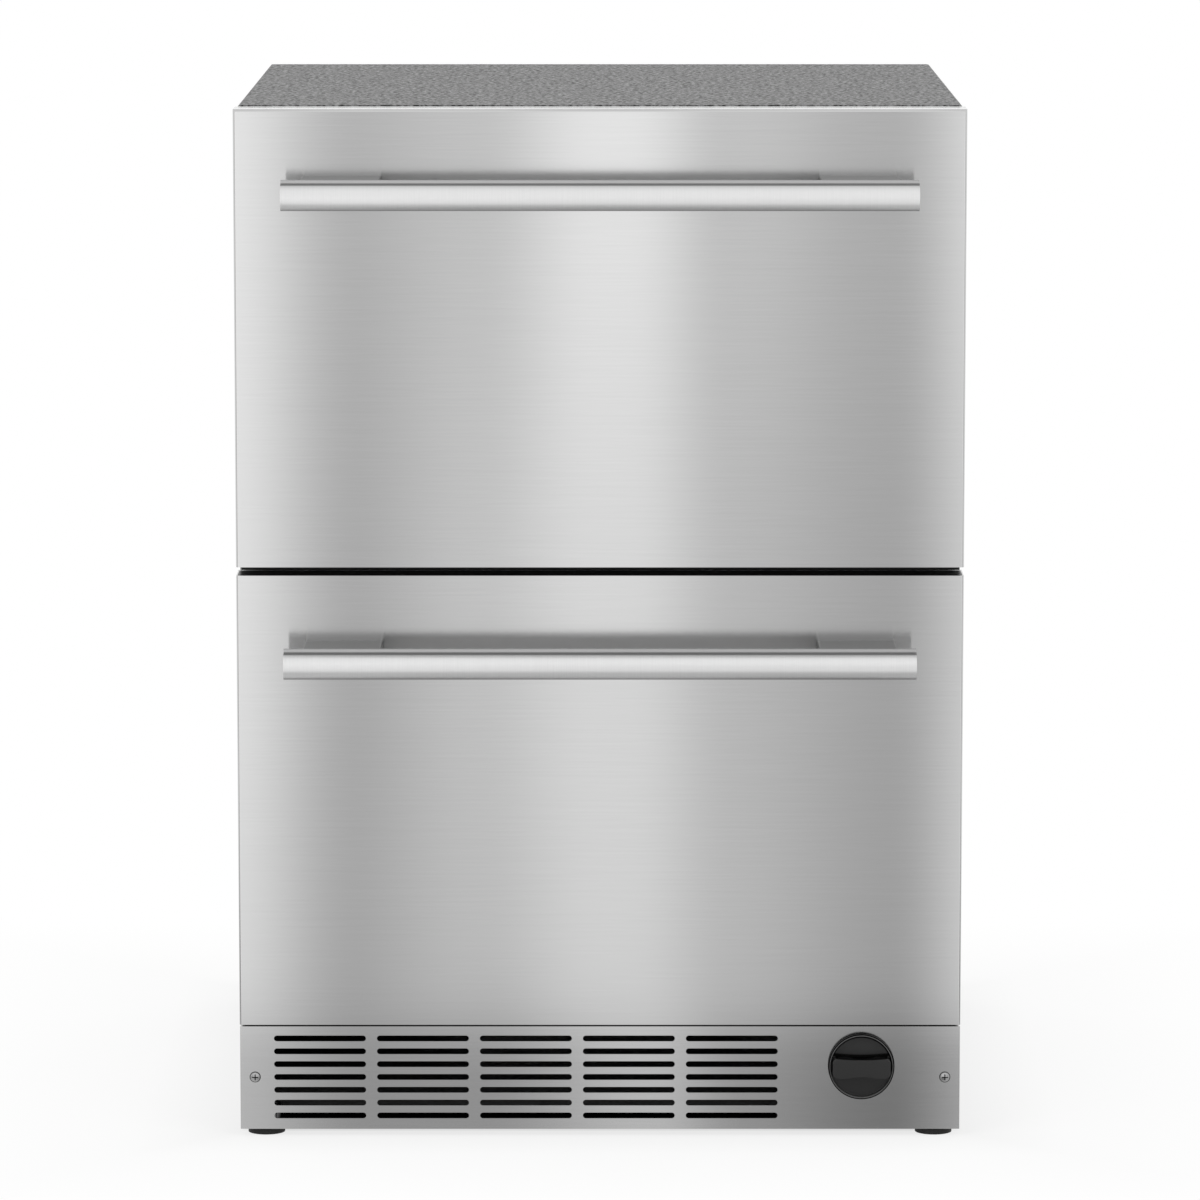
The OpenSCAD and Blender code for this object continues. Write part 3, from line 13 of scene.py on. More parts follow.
import bpy
import numpy as np
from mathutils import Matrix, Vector


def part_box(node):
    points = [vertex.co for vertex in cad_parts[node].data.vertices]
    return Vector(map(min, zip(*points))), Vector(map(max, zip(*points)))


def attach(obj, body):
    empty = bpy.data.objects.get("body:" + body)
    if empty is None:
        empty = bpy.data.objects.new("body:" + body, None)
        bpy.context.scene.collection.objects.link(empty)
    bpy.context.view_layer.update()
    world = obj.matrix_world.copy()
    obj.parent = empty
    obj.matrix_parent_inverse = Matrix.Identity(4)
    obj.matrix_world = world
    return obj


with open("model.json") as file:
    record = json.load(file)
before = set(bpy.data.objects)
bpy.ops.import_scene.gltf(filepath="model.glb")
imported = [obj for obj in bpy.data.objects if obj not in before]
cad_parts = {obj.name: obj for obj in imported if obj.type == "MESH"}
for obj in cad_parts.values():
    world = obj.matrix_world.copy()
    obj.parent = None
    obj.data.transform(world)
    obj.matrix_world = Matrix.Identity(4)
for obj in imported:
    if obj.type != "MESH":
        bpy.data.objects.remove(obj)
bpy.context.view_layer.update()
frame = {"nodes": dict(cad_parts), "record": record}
nodes = frame["nodes"]
slot_of = {part["node"]: part["material_slot"] for part in frame["record"]["subparts"]}

# %% [markdown]
# ## Helpers
#
# Colours are chosen on a screen, so they are written as sRGB hex codes, while a shader
# works in linear light. One function turns the first into the second. A second function
# adds a node with its settings and links and hands back the socket that it gives out, so
# that a material reads from top to bottom as a recipe: first the pattern, then the shader.

# %% Colour and node helpers
def linear(code):
    """Each sRGB channel c becomes c/12.92 below 0.04045 and ((c + 0.055)/1.055)^2.4 above."""
    c = np.array([int(code[i:i + 2], 16) for i in (1, 3, 5)]) / 255
    return (*np.where(c <= 0.04045, c / 12.92, ((c + 0.055) / 1.055) ** 2.4), 1.0)


def add(tree, kind, inputs=(), stops=(), **settings):
    """Adds one node and returns its first output in use. settings are its properties, inputs
    its sockets' values or links, and stops a ramp's (position, colour or strength)."""
    made = tree.nodes.new("ShaderNode" + kind)
    for name, value in settings.items():
        setattr(made, name, value)
    for socket, value in dict(inputs).items():
        if isinstance(value, bpy.types.NodeSocket):
            tree.links.new(value, made.inputs[socket])
        else:
            made.inputs[socket].default_value = value
    for i, (position, value) in enumerate(stops):
        elements = made.color_ramp.elements
        stop = elements[i] if i < 2 else elements.new(position)
        stop.position = position
        stop.color = value if isinstance(value, tuple) else (value, value, value, 1)
    return next((socket for socket in made.outputs if socket.enabled), made)


def start_material(name):
    """An empty material: the material, its node tree, and the Object coordinates."""
    made = bpy.data.materials.new(name)
    made.use_nodes = True
    made.node_tree.nodes.clear()
    return made, made.node_tree, add(made.node_tree, "TexCoord").node.outputs["Object"]


def finish_material(tree, inputs):
    """Every finish ends in one Principled shader, which takes these inputs."""
    add(tree, "OutputMaterial", {"Surface": add(tree, "BsdfPrincipled", inputs)})


print("middle grey #808080 is", round(float(linear("#808080")[0]), 3), "in linear light")

# %% [markdown]
# ## Brushed stainless steel
#
# The drawer fronts and the grille are 304 stainless steel, ground with an abrasive belt
# that runs from side to side. The belt leaves fine level scratches, so a reflection stays
# sharp along them and smears across them, up and down. That is what the shader's
# anisotropy is for. An image of scratches would also work, but it would show its edge
# somewhere, while stretched noise runs on over each fold without a seam. The real
# scratches are too fine to show, so they are drawn 0.7 mm apart, and faint.

# %% Brushed stainless steel
def brushed_steel(name, tones, roughness, anisotropy, scratch_mm, turn_about, zones=None):
    """Noise with cells of scratch_mm (x, y, z) gives scratches half a micrometre deep. They
    run round the axis turn_about, and the quarter turn smears the reflection across them.
    zones, if given, turns the coordinates and the tone into a tone for each zone."""
    made, tree, place = start_material(name)
    cells = add(tree, "Mapping", {"Vector": place, "Scale": [1e3 / mm for mm in scratch_mm]})
    scratch = add(tree, "TexNoise", {"Vector": cells, "Scale": 1.0, "Detail": 2.0, "Roughness": 0.6})
    tone = add(tree, "ValToRGB", {"Fac": scratch}, [(0.3, linear(tones[0])), (0.7, linear(tones[1]))])
    gloss = add(tree, "MapRange", {"Value": scratch, "From Min": 0.3, "From Max": 0.7,
                                   "To Min": roughness * 0.95, "To Max": roughness * 1.05})
    relief = add(tree, "Bump", {"Height": scratch, "Strength": 1.0, "Distance": 0.5e-6})
    along = add(tree, "Tangent", direction_type="RADIAL", axis=turn_about)
    finish_material(tree, {
        "Base Color": zones(tree, place, tone) if zones else tone, "Metallic": 1.0, "Roughness": gloss,
        "Anisotropic": anisotropy, "Anisotropic Rotation": 0.25, "Tangent": along, "Normal": relief})
    return made


finishes = {"brushed_stainless": brushed_steel(
    "brushed_304_stainless_steel", ("#c9c9c9", "#cccccc"), 0.125, 0.88, (60, 60, 0.7), "Z")}
print("drawer fronts:", finishes["brushed_stainless"].name)

# %% [markdown]
# ## The grille
#
# The grille is cut from the same sheet. The cut edges inside the slots are painted dark as
# shade, which makes each slot look as wide as it is. They all lie behind the face, and below
# the sheet that is folded back along the top, so two limits pick them out. The sheet's back
# and its folded ends come with them, which the photograph doesn't show.

# %% Grille
grille_low, grille_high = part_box("toe_grille")
skin_of_face = 0.00025    # how far behind the face the brushed finish ends
folded_sheet = 0.004      # height of the folded top, with its bend


def slot_walls_painted_dark(tree, place, tone):
    """Painted shade: dark where Y is behind the face and Z is below the folded top."""
    at = add(tree, "SeparateXYZ", {"Vector": place}).node.outputs
    behind = add(tree, "Math", {0: at["Y"], 1: grille_low.y + skin_of_face}, operation="GREATER_THAN")
    below = add(tree, "Math", {0: at["Z"], 1: grille_high.z - folded_sheet}, operation="LESS_THAN")
    raw = add(tree, "Math", {0: behind, 1: below}, operation="MULTIPLY")
    # painted shade: the slot walls, the sheet's back and its folded ends get a dark grey
    return add(tree, "Mix", {0: raw, 6: tone, 7: linear("#303030")}, data_type="RGBA")


finishes["grille_stainless"] = brushed_steel(
    "brushed_304_stainless_grille", ("#c9c9c9", "#cccccc"), 0.125, 0.88, (50, 50, 0.7), "Z", slot_walls_painted_dark)
print("grille from", round(grille_low.z, 4), "to", round(grille_high.z, 4), "m")

# %% [markdown]
# ## The handles
#
# A handle bar is drawn to a D: a half round in front, and a flat that stands up behind it.
# The round is ground between wheels, so its scratches run round the bar and smear the
# reflection along it. That makes one even light band from end to end. Its underside and
# the inside corner under the flat's edge are painted dark, as shade. The flat is painted
# darker than the round, as shade, and its back is painted near white, a painted reflection
# that lights the front behind it. One finish holds all that, because the Object coordinates
# tell the zones apart: Y the flat from the round, and Z the height in the bar.

# %% Handle bar
bar_low, bar_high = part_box("lower_handle_bar")
bars_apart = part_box("upper_handle_bar")[0].z - bar_low.z
flat_thickness = 0.0045
hair = 0.0001             # keeps a zone's limit clear of the surface that it follows


def bar_zones(tree, place, ground):
    """Painted shade on the flat, the underside and the corner; a near white back as painted reflection."""
    at = add(tree, "SeparateXYZ", {"Vector": place}).node.outputs
    flat = add(tree, "Math", {0: at["Y"], 1: bar_high.y - flat_thickness - hair}, operation="GREATER_THAN")
    flat_with_painted_shade = add(tree, "Mix", {0: flat, 6: ground, 7: linear("#b8b8b8")}, data_type="RGBA")
    # both bars have one profile, so the remainder of Z gives the height in either of them
    height = add(tree, "Math", {0: at["Z"], 1: bar_low.z - 2 * hair}, operation="SUBTRACT")
    height = add(tree, "Math", {0: height, 1: bars_apart}, operation="MODULO")
    height = add(tree, "MapRange", {"Value": height, "From Max": bar_high.z - bar_low.z})
    # painted shade: darker on the underside and in the corner under the flat's edge
    painted_shade_by_height = add(tree, "ValToRGB", {"Fac": height}, [
        (0.0, 0.3), (0.045, 0.45), (0.085, 1.0),                   # underside
        (0.83, 1.0), (0.86, 0.35), (0.895, 0.35), (0.915, 1.0)])   # corner under the flat's edge
    ground = add(tree, "Mix", {0: 1.0, 6: flat_with_painted_shade, 7: painted_shade_by_height}, data_type="RGBA", blend_type="MULTIPLY")
    # painted reflection: the back is near white, so the front behind it reflects it lighter
    back = add(tree, "Math", {0: at["Y"], 1: bar_high.y - 3 * hair}, operation="GREATER_THAN")
    return add(tree, "Mix", {0: back, 6: ground, 7: linear("#f4f4f4")}, data_type="RGBA")


# painted light: this steel is lighter in tone than the fronts', so its band renders brighter
finishes["handle_stainless"] = brushed_steel(
    "ground_304_stainless_bar", ("#e3e3e3", "#e8e8e8"), 0.42, 0.72, (0.7, 40, 40), "X", bar_zones)
print("handle bars", round(bars_apart, 4), "m apart")

# %% [markdown]
# ## The handle posts
#
# The two posts under each bar are stainless castings. They are blasted with glass beads,
# which leaves a dull, even skin of tiny pits, darker than the bar. The real pits are too
# fine to show, so they are drawn 1.2 mm wide, and faint.

# %% Bead-blasted posts
finishes["blasted_posts"], tree, place = start_material("bead_blasted_stainless_casting")
pits = add(tree, "TexNoise", {"Vector": place, "Scale": 1 / 0.0012, "Detail": 2.0})
tone = add(tree, "ValToRGB", {"Fac": pits}, [(0.3, linear("#848484")), (0.7, linear("#8e8e8e"))])
gloss = add(tree, "MapRange", {"Value": pits, "From Min": 0.3, "From Max": 0.7,
                               "To Min": 0.38, "To Max": 0.46})
relief = add(tree, "Bump", {"Height": pits, "Strength": 0.5, "Distance": 0.00003})
finish_material(tree, {"Base Color": tone, "Metallic": 1.0, "Roughness": gloss, "Normal": relief})
print("handle posts:", finishes["blasted_posts"].name)

# %% [markdown]
# ## Powder coat on the case
#
# The case is steel sheet under a grey textured powder coat. The powder melts into small
# flat beads of slightly different greys, which scatter the light and hide fingerprints.
# From the front the top is seen almost edge on, so a bead of its real 0.8 mm would blur
# away. The noise is drawn more than four times as coarse, and strong enough to show.

# %% Textured powder coat
finishes["textured_grey_enamel"], tree, place = start_material("grey_textured_powder_coat")
beads = add(tree, "TexNoise", {"Vector": place, "Scale": 1 / 0.0036, "Detail": 2.0, "Roughness": 0.7})
tone = add(tree, "ValToRGB", {"Fac": beads}, [(0.40, linear("#303030")), (0.60, linear("#9c9c9c"))])
relief = add(tree, "Bump", {"Height": beads, "Strength": 1.0, "Distance": 0.0006})
finish_material(tree, {"Base Color": tone, "Roughness": 0.6, "Specular IOR Level": 0.2, "Normal": relief})
print("case:", finishes["textured_grey_enamel"].name)

# %% [markdown]
# ## Dark coat on the base pan, painted shade
#
# The pan that carries the machinery is painted dark, as shade, so that what one sees
# through the grille's slots is dark. The coat is thin and nearly matt, with a faint orange
# peel, so it doesn't shine.

# %% Dark coat, painted shade
finishes["base_pan"], tree, place = start_material("dark_pan_coat_painted_shade")
peel = add(tree, "TexNoise", {"Vector": place, "Scale": 1 / 0.0025, "Detail": 2.0})
tone = add(tree, "ValToRGB", {"Fac": peel}, [(0.3, linear("#4a4a4a")), (0.7, linear("#525252"))])
relief = add(tree, "Bump", {"Height": peel, "Strength": 0.5, "Distance": 0.0001})
finish_material(tree, {"Base Color": tone, "Roughness": 0.7, "Specular IOR Level": 0.3, "Normal": relief})
print("base pan:", finishes["base_pan"].name)

# %% [markdown]
# ## Zinc: hot-dip sheet and plated slides
#
# Hot-dip galvanised sheet freezes into flat crystals, the spangle, each with its own tone.
# Voronoi cells are just that: areas that grew from scattered seeds, here 13 mm apart and
# bent a little by noise. The slides are electroplated instead, which leaves no spangle,
# only the long lines of the rolled strip and a faint cloudiness.

# %% Galvanised sheet
finishes["galvanised_steel"], tree, place = start_material("hot_dip_galvanised_sheet")
waver = add(tree, "TexNoise", {"Vector": place, "Scale": 1 / 0.006, "Detail": 2.0}).node.outputs["Color"]
bent = add(tree, "VectorMath", {0: waver, 1: (0.004, 0.004, 0.004), 2: place}, operation="MULTIPLY_ADD")
spangle = add(tree, "TexVoronoi", {"Vector": bent, "Scale": 1 / 0.013}).node.outputs["Color"]
crystal = add(tree, "SeparateColor", {"Color": spangle}).node.outputs
tone = add(tree, "ValToRGB", {"Fac": crystal["Red"]}, [(0.0, linear("#a4a6a7")), (1.0, linear("#c2c4c5"))])
gloss = add(tree, "MapRange", {"Value": crystal["Green"], "To Min": 0.3, "To Max": 0.48})
finish_material(tree, {"Base Color": tone, "Metallic": 1.0, "Roughness": gloss})
print("sheet:", finishes["galvanised_steel"].name)

# %% Zinc-plated strip
finishes["slide_zinc"], tree, place = start_material("bright_zinc_plated_strip")
rolled = add(tree, "Mapping", {"Vector": place, "Scale": (900, 14, 900)})    # lines 1.1 mm by 71 mm
lines = add(tree, "TexNoise", {"Vector": rolled, "Scale": 1.0, "Detail": 3.0})
cloud = add(tree, "TexNoise", {"Vector": place, "Scale": 1 / 0.018, "Detail": 3.0})
both = add(tree, "Math", {0: lines, 1: cloud}, operation="MULTIPLY")
tone = add(tree, "ValToRGB", {"Fac": both}, [(0.12, linear("#b0b1b3")), (0.4, linear("#cfd0d1"))])
gloss = add(tree, "MapRange", {"Value": cloud, "From Min": 0.3, "From Max": 0.7,
                               "To Min": 0.2, "To Max": 0.34})
finish_material(tree, {"Base Color": tone, "Metallic": 1.0, "Roughness": gloss})
print("slides:", finishes["slide_zinc"].name)

# %% [markdown]
# ## Moulded plastics
#
# The plastics share one build-up: a solid colour that hardly varies, and a relief from
# the mould. The liners are vacuum formed, so they are smooth with a slow ripple, like
# orange peel. The black mouldings come from a spark-eroded mould and have a fine matt
# grain. So the relief's width and depth, and the gloss, tell them apart. No moulded edge is
# sharp: a Bevel node turns the shading over it, which draws the thin light line that one
# sees on such an edge.

# %% Plastics
def moulded_plastic(name, tones, roughness, relief_mm, depth_mm, detail=2.0, edge_mm=0.6, zones=None):
    """Noise relief_mm wide and depth_mm deep, with a slow drift of tone over 60 mm. zones, if
    given, turns the coordinates and the tone into shader inputs for each zone."""
    made, tree, place = start_material(name)
    drift = add(tree, "TexNoise", {"Vector": place, "Scale": 1 / 0.06, "Detail": 4.0})
    skin = add(tree, "TexNoise", {"Vector": place, "Scale": 1e3 / relief_mm, "Detail": detail,
                                  "Roughness": 0.55})
    tone = add(tree, "ValToRGB", {"Fac": drift}, [(0.3, linear(tones[0])), (0.7, linear(tones[1]))])
    soft_edge = add(tree, "Bevel", {"Radius": edge_mm * 1e-3}, samples=6)
    relief = add(tree, "Bump", {"Height": skin, "Strength": 1.0, "Distance": depth_mm * 1e-3,
                                "Normal": soft_edge})
    finish_material(tree, {"Base Color": tone, "Roughness": roughness, "IOR": 1.5, "Normal": relief,
                           **(zones(tree, place, tone) if zones else {})})
    return made


plastics = {
    "liner_white": ("vacuum_formed_polystyrene", ("#e9ebea", "#eff0ef"), 0.28, 5, 0.06),
    "bin_white": ("injection_moulded_polypropylene_bin", ("#e6ebeb", "#eef2f2"), 0.36, 2.5, 0.03),
    "white_plastic": ("white_polypropylene", ("#e4e4e0", "#ecece9"), 0.4, 1.5, 0.03),
    "black_plastic": ("black_abs_with_spark_grain", ("#121212", "#181818"), 0.34, 1.1, 0.03, 3.0),
}
for slot, recipe in plastics.items():
    finishes[slot] = moulded_plastic(*recipe)
print("plastics:", [recipe[0] for recipe in plastics.values()])

# %% [markdown]
# ## The filter cap
#
# The cap is the same black ABS, in the shape of a dish with a rim round it and a grip across
# it. Its rim is painted lighter, as a painted highlight. Shade is painted into three places,
# where it also takes the shine away: the gap round the cap, the upper corner of the dish, and
# the crease over the grip. The first two follow the distance from the cap's axis, and the
# crease follows the grip's upper edge.

# %% Filter cap
cap_low, cap_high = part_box("filter_cap")
cap_r = (cap_high.x - cap_low.x) / 2
cap_centre = (cap_low + cap_high) / 2
# the grip's upper edge: its height above the axis, the rise of its ends, and half its length
grip_top, grip_hollow, grip_half = 0.0075, 0.0015, 0.0243
grip_bow = grip_hollow / grip_half ** 2


def cap_zones(tree, place, tone):
    """The share of the cap's radius, sqrt(x^2 + z^2)/r, finds the gap and the rim. The same
    share from a centre 4% lower finds the corner, which fades out to the sides. The grip's
    edge is the parabola top + hollow (x/half)^2, and the crease is the strip over it."""
    shares = []
    for drop in (0.0, 0.04):
        centre = cap_centre - Vector((0, 0, drop * cap_r))
        away = add(tree, "VectorMath", {0: place, 1: centre}, operation="SUBTRACT")
        away = add(tree, "VectorMath", {0: away, 1: (1, 0, 1)}, operation="MULTIPLY")
        away = add(tree, "VectorMath", {0: away}, operation="LENGTH")
        shares.append(add(tree, "Math", {0: away, 1: cap_r}, operation="DIVIDE"))
    # painted light: shade in the corner and the gap, and a lighter rim as a painted highlight
    corner = add(tree, "ValToRGB", {"Fac": shares[1]}, [(0.900, 1.0), (0.920, 0.06)])
    on_rim = add(tree, "ValToRGB", {"Fac": shares[0]}, [(0.935, 0.0), (0.945, 1.0)])
    gap = add(tree, "ValToRGB", {"Fac": shares[0]}, [(0.965, 1.0), (0.972, 0.02)])
    at = add(tree, "VectorMath", {0: place, 1: cap_centre}, operation="SUBTRACT")
    at = add(tree, "SeparateXYZ", {"Vector": at}).node.outputs
    edge = add(tree, "Math", {0: at["X"], 1: at["X"]}, operation="MULTIPLY")
    edge = add(tree, "Math", {0: edge, 1: grip_bow, 2: grip_top}, operation="MULTIPLY_ADD")
    over = add(tree, "Math", {0: at["Z"], 1: edge}, operation="SUBTRACT")
    # the crease's strip goes from 0.5 mm below the edge to 3.5 mm above it
    over = add(tree, "MapRange", {"Value": over, "From Min": -0.0005, "From Max": 0.0035})
    # painted shade in the crease over the grip
    crease = add(tree, "ValToRGB", {"Fac": over}, [(0.0, 1.0), (0.12, 0.06), (0.55, 0.12), (0.85, 1.0)])
    lit = add(tree, "Mix", {0: 1.0, 6: corner, 7: crease}, data_type="RGBA", blend_type="MULTIPLY")
    lit = add(tree, "Mix", {0: on_rim, 6: lit, 7: linear("#ffffff")}, data_type="RGBA")
    lit = add(tree, "Mix", {0: 1.0, 6: lit, 7: gap}, data_type="RGBA", blend_type="MULTIPLY")
    tone = add(tree, "Mix", {0: on_rim, 6: tone, 7: linear("#585858")}, data_type="RGBA")
    tone = add(tree, "Mix", {0: 1.0, 6: tone, 7: lit}, data_type="RGBA", blend_type="MULTIPLY")
    # the painted shade also lowers the specular level, which takes the shine away
    return {"Base Color": tone, "Specular IOR Level": add(tree, "MapRange", {"Value": lit, "To Max": 0.5})}


finishes["filter_cap"] = moulded_plastic(
    "black_abs_cap_painted_light_and_shade", ("#242424", "#292929"), 0.3, 1.1, 0.02, 3.0, edge_mm=1.2, zones=cap_zones)
print("filter cap radius", round(cap_r * 1e3, 1), "mm")

# %% [markdown]
# ## The grille screws
#
# Two pan-head screws hold the grille. They are plated like the slides. Their cross recess
# is painted nearly black, as shade, and the line where the head's edge turns in to the sheet
# is painted dark, as a shadow.

# %% Screw heads
finishes["grille_screws"], tree, place = start_material("zinc_plated_pan_head_screw")
screw_low, screw_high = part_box("grille_screws")
head = screw_high.z - screw_low.z
axis_x, axis_z = (screw_high.x - screw_low.x - head) / 2, (screw_low.z + screw_high.z) / 2
# the recess is what lies near the head's middle and deeper than its crown
recess_share, crown = 0.29, 0.0007
at = add(tree, "SeparateXYZ", {"Vector": place}).node.outputs
side = add(tree, "Math", {0: at["X"]}, operation="ABSOLUTE")
side = add(tree, "Math", {0: side, 1: axis_x}, operation="SUBTRACT")
rise = add(tree, "Math", {0: at["Z"], 1: axis_z}, operation="SUBTRACT")
off_axis = add(tree, "CombineXYZ", {"X": side, "Y": rise})
off_axis = add(tree, "VectorMath", {0: off_axis}, operation="LENGTH")
inside = add(tree, "Math", {0: off_axis, 1: head * recess_share}, operation="LESS_THAN")
deep = add(tree, "Math", {0: at["Y"], 1: screw_low.y + crown}, operation="GREATER_THAN")
# painted shade: the cross recess is nearly black
recess = add(tree, "Math", {0: inside, 1: deep}, operation="MULTIPLY")
share = add(tree, "Math", {0: off_axis, 1: head}, operation="DIVIDE")
# painted shadow: a dark ring where the head's edge meets the sheet
plated = add(tree, "ValToRGB", {"Fac": share}, [(0.39, linear("#b4b4b4")), (0.44, linear("#4c4c4c"))])
tone = add(tree, "Mix", {0: recess, 6: plated, 7: linear("#202020")}, data_type="RGBA")
finish_material(tree, {"Base Color": tone, "Metallic": 1.0, "Roughness": 0.3})
print("screw heads", round(head * 1e3, 1), "mm wide")

# %% [markdown]
# ## Gaskets, rubber and foam
#
# The door seal is soft grey PVC, extruded, so it is smooth along its length and has a waxy
# sheen. The feet and grommets are black rubber with a bloom of dust. The foam only shows
# where a panel is off: it is polyurethane, a froth of bubbles about two millimetres wide.

# %% Gasket, rubber, foam
finishes["gasket_grey"], tree, place = start_material("extruded_grey_pvc")
wax = add(tree, "TexNoise", {"Vector": place, "Scale": 1 / 0.02, "Detail": 3.0})
tone = add(tree, "ValToRGB", {"Fac": wax}, [(0.3, linear("#8d9093")), (0.7, linear("#999c9f"))])
finish_material(tree, {"Base Color": tone, "Roughness": 0.42, "Sheen Weight": 0.15})

finishes["black_rubber"], tree, place = start_material("black_rubber")
dust = add(tree, "TexNoise", {"Vector": place, "Scale": 1 / 0.004, "Detail": 5.0, "Roughness": 0.7})
tone = add(tree, "ValToRGB", {"Fac": dust}, [(0.4, linear("#131313")), (0.75, linear("#232322"))])
relief = add(tree, "Bump", {"Height": dust, "Strength": 0.6, "Distance": 0.0001})
finish_material(tree, {"Base Color": tone, "Roughness": 0.72, "Normal": relief})

finishes["foam"], tree, place = start_material("rigid_polyurethane_foam")
bubbles = add(tree, "TexVoronoi", {"Vector": place, "Scale": 1 / 0.0018})
tone = add(tree, "ValToRGB", {"Fac": bubbles}, [(0.1, linear("#dccb93")), (0.6, linear("#ecdfb4"))])
relief = add(tree, "Bump", {"Height": bubbles, "Strength": 1.0, "Distance": 0.0006})
finish_material(tree, {"Base Color": tone, "Roughness": 0.9, "Normal": relief})
print("soft and foamed:", [finishes[slot].name for slot in ("gasket_grey", "black_rubber", "foam")])

# %% [markdown]
# ## The cooling circuit
#
# The compressor is dipped in black enamel, which sags into a soft ripple as it dries. The
# tubes are copper that the brazing torch has browned in places. The evaporator's fins are
# bare rolled aluminium, and the ball cages are yellow-passivated steel strip.

# %% Enamel and copper
finishes["compressor_black"], tree, place = start_material("black_dipped_enamel")
sags = add(tree, "TexNoise", {"Vector": place, "Scale": 1 / 0.006, "Detail": 1.0})
tone = add(tree, "ValToRGB", {"Fac": sags}, [(0.3, linear("#0f1011")), (0.7, linear("#18191b"))])
relief = add(tree, "Bump", {"Height": sags, "Strength": 1.0, "Distance": 0.0002})
finish_material(tree, {"Base Color": tone, "Roughness": 0.3, "Coat Weight": 0.25, "Coat Roughness": 0.15,
                       "Normal": relief})

finishes["copper"], tree, place = start_material("drawn_copper_tube")
heat = add(tree, "TexNoise", {"Vector": place, "Scale": 1 / 0.03, "Detail": 4.0, "Roughness": 0.6})
tone = add(tree, "ValToRGB", {"Fac": heat}, [
    (0.35, linear("#c98d68")), (0.55, linear("#b87750")), (0.75, linear("#84543a"))])
gloss = add(tree, "MapRange", {"Value": heat, "From Min": 0.35, "From Max": 0.75,
                               "To Min": 0.24, "To Max": 0.45})
finish_material(tree, {"Base Color": tone, "Metallic": 1.0, "Roughness": gloss})

# %% Aluminium fins and cage strip
finishes["fin_aluminium"], tree, place = start_material("mill_finish_aluminium_fin")
sheet = add(tree, "Mapping", {"Vector": place, "Scale": (1 / 0.004, 1 / 0.05, 1 / 0.02)})
mill = add(tree, "TexNoise", {"Vector": sheet, "Scale": 1.0, "Detail": 3.0})
tone = add(tree, "ValToRGB", {"Fac": mill}, [(0.3, linear("#b9bdbf")), (0.7, linear("#d5d8d9"))])
gloss = add(tree, "MapRange", {"Value": mill, "From Min": 0.3, "From Max": 0.7,
                               "To Min": 0.26, "To Max": 0.42})
finish_material(tree, {"Base Color": tone, "Metallic": 1.0, "Roughness": gloss})

finishes["cage_steel"], tree, place = start_material("yellow_passivated_strip")
iris = add(tree, "TexNoise", {"Vector": place, "Scale": 1 / 0.008, "Detail": 2.0})
tone = add(tree, "ValToRGB", {"Fac": iris}, [
    (0.3, linear("#b7a56a")), (0.5, linear("#bfa87c")), (0.7, linear("#a9a37e"))])
gloss = add(tree, "ValToRGB", {"Fac": iris}, [(0.3, 0.22), (0.7, 0.34)])
finish_material(tree, {"Base Color": tone, "Metallic": 1.0, "Roughness": gloss})
circuit = ("compressor_black", "copper", "fin_aluminium", "cage_steel")
print("circuit:", [finishes[slot].name for slot in circuit])

# %% [markdown]
# ## The light lenses
#
# Each lens is opal acrylic. Inside it are fine ribs that spread the light of the lamps
# along the compartment, so the bump here is a plain row of waves, 2.5 mm apart.

# %% Opal acrylic
finishes["light_lens"], tree, place = start_material("opal_acrylic_lens")
rib_spacing = 0.0025    # a wave texture of scale 1 repeats every tau/20
ribs = add(tree, "TexWave", {"Vector": place, "Scale": math.tau / 20 / rib_spacing},
           bands_direction="X").node.outputs["Fac"]
relief = add(tree, "Bump", {"Height": ribs, "Strength": 0.5, "Distance": 0.0004})
finish_material(tree, {"Base Color": linear("#f3f3ee"), "Roughness": 0.22, "Subsurface Weight": 0.2,
                       "Subsurface Radius": (0.004, 0.004, 0.004), "Normal": relief})
print("lens ribs", rib_spacing * 1e3, "mm apart")

# %% [markdown]
# ## Putting the finishes on
#
# The record says which slot each piece belongs to, so one loop dresses them all, and a few
# pieces have a finish of their own. The CAD meshes are left as they are: only the material
# on them changes.

# %% Dress the solid pieces
own_finish = {"upper_handle_posts": "blasted_posts", "lower_handle_posts": "blasted_posts",
              "filter_cap": "filter_cap", "grille_screws": "grille_screws", "base_pan": "base_pan"}
for name, piece in nodes.items():
    piece.data.materials.clear()
    piece.data.materials.append(finishes[own_finish.get(name, slot_of[name])])
print("dressed", len(nodes), "pieces with", len(finishes), "finishes; without a finish:",
      sorted(set(slot_of.values()) - set(finishes)))

# %% [markdown]
# ## Surfaces from formulas
#
# The threads, the floor and the reflector card are grids: a function of two parameters
# gives a point for every pair, and neighbouring points make a four-sided face. Working on
# whole arrays keeps it short, and the formula stays readable.

# %% A surface from a grid of points
def surface(name, points, close_rows=False):
    """points is an array (rows, columns, 3). Face (i, j) joins point (i, j) to its next
    neighbours along both ways; closed rows also join each row's last point to its first."""
    rows, columns = points.shape[:2]
    index = np.arange(rows * columns).reshape(rows, columns)
    if close_rows:
        index = np.hstack([index, index[:, :1]])
    faces = np.stack([index[:-1, :-1], index[:-1, 1:], index[1:, 1:], index[1:, :-1]], -1).reshape(-1, 4)
    mesh = bpy.data.meshes.new(name)
    mesh.from_pydata(points.reshape(-1, 3).tolist(), [], faces.tolist())
    mesh.polygons.foreach_set("use_smooth", np.ones(len(faces), bool))
    mesh.update()
    made = bpy.data.objects.new(name, mesh)
    bpy.context.scene.collection.objects.link(made)
    return made


# %% [markdown]
# ## Screw threads
#
# The four legs are M10 studs that turn in and out of the base pan. A thread is a ridge that
# climbs as it goes round, so the radius depends on how far the angle and the height are out
# of step. A normal map could fake it, but the ridges also show in the outline. The skin
# lies just outside the solid stud, so its ridge is shallower than the real thread.

# %% Threads on the leg studs
thread_start, thread_end = 0.0075, 0.068            # heights above the floor
thread_root, thread_crest, thread_pitch = 0.00501, 0.00509, 0.0015


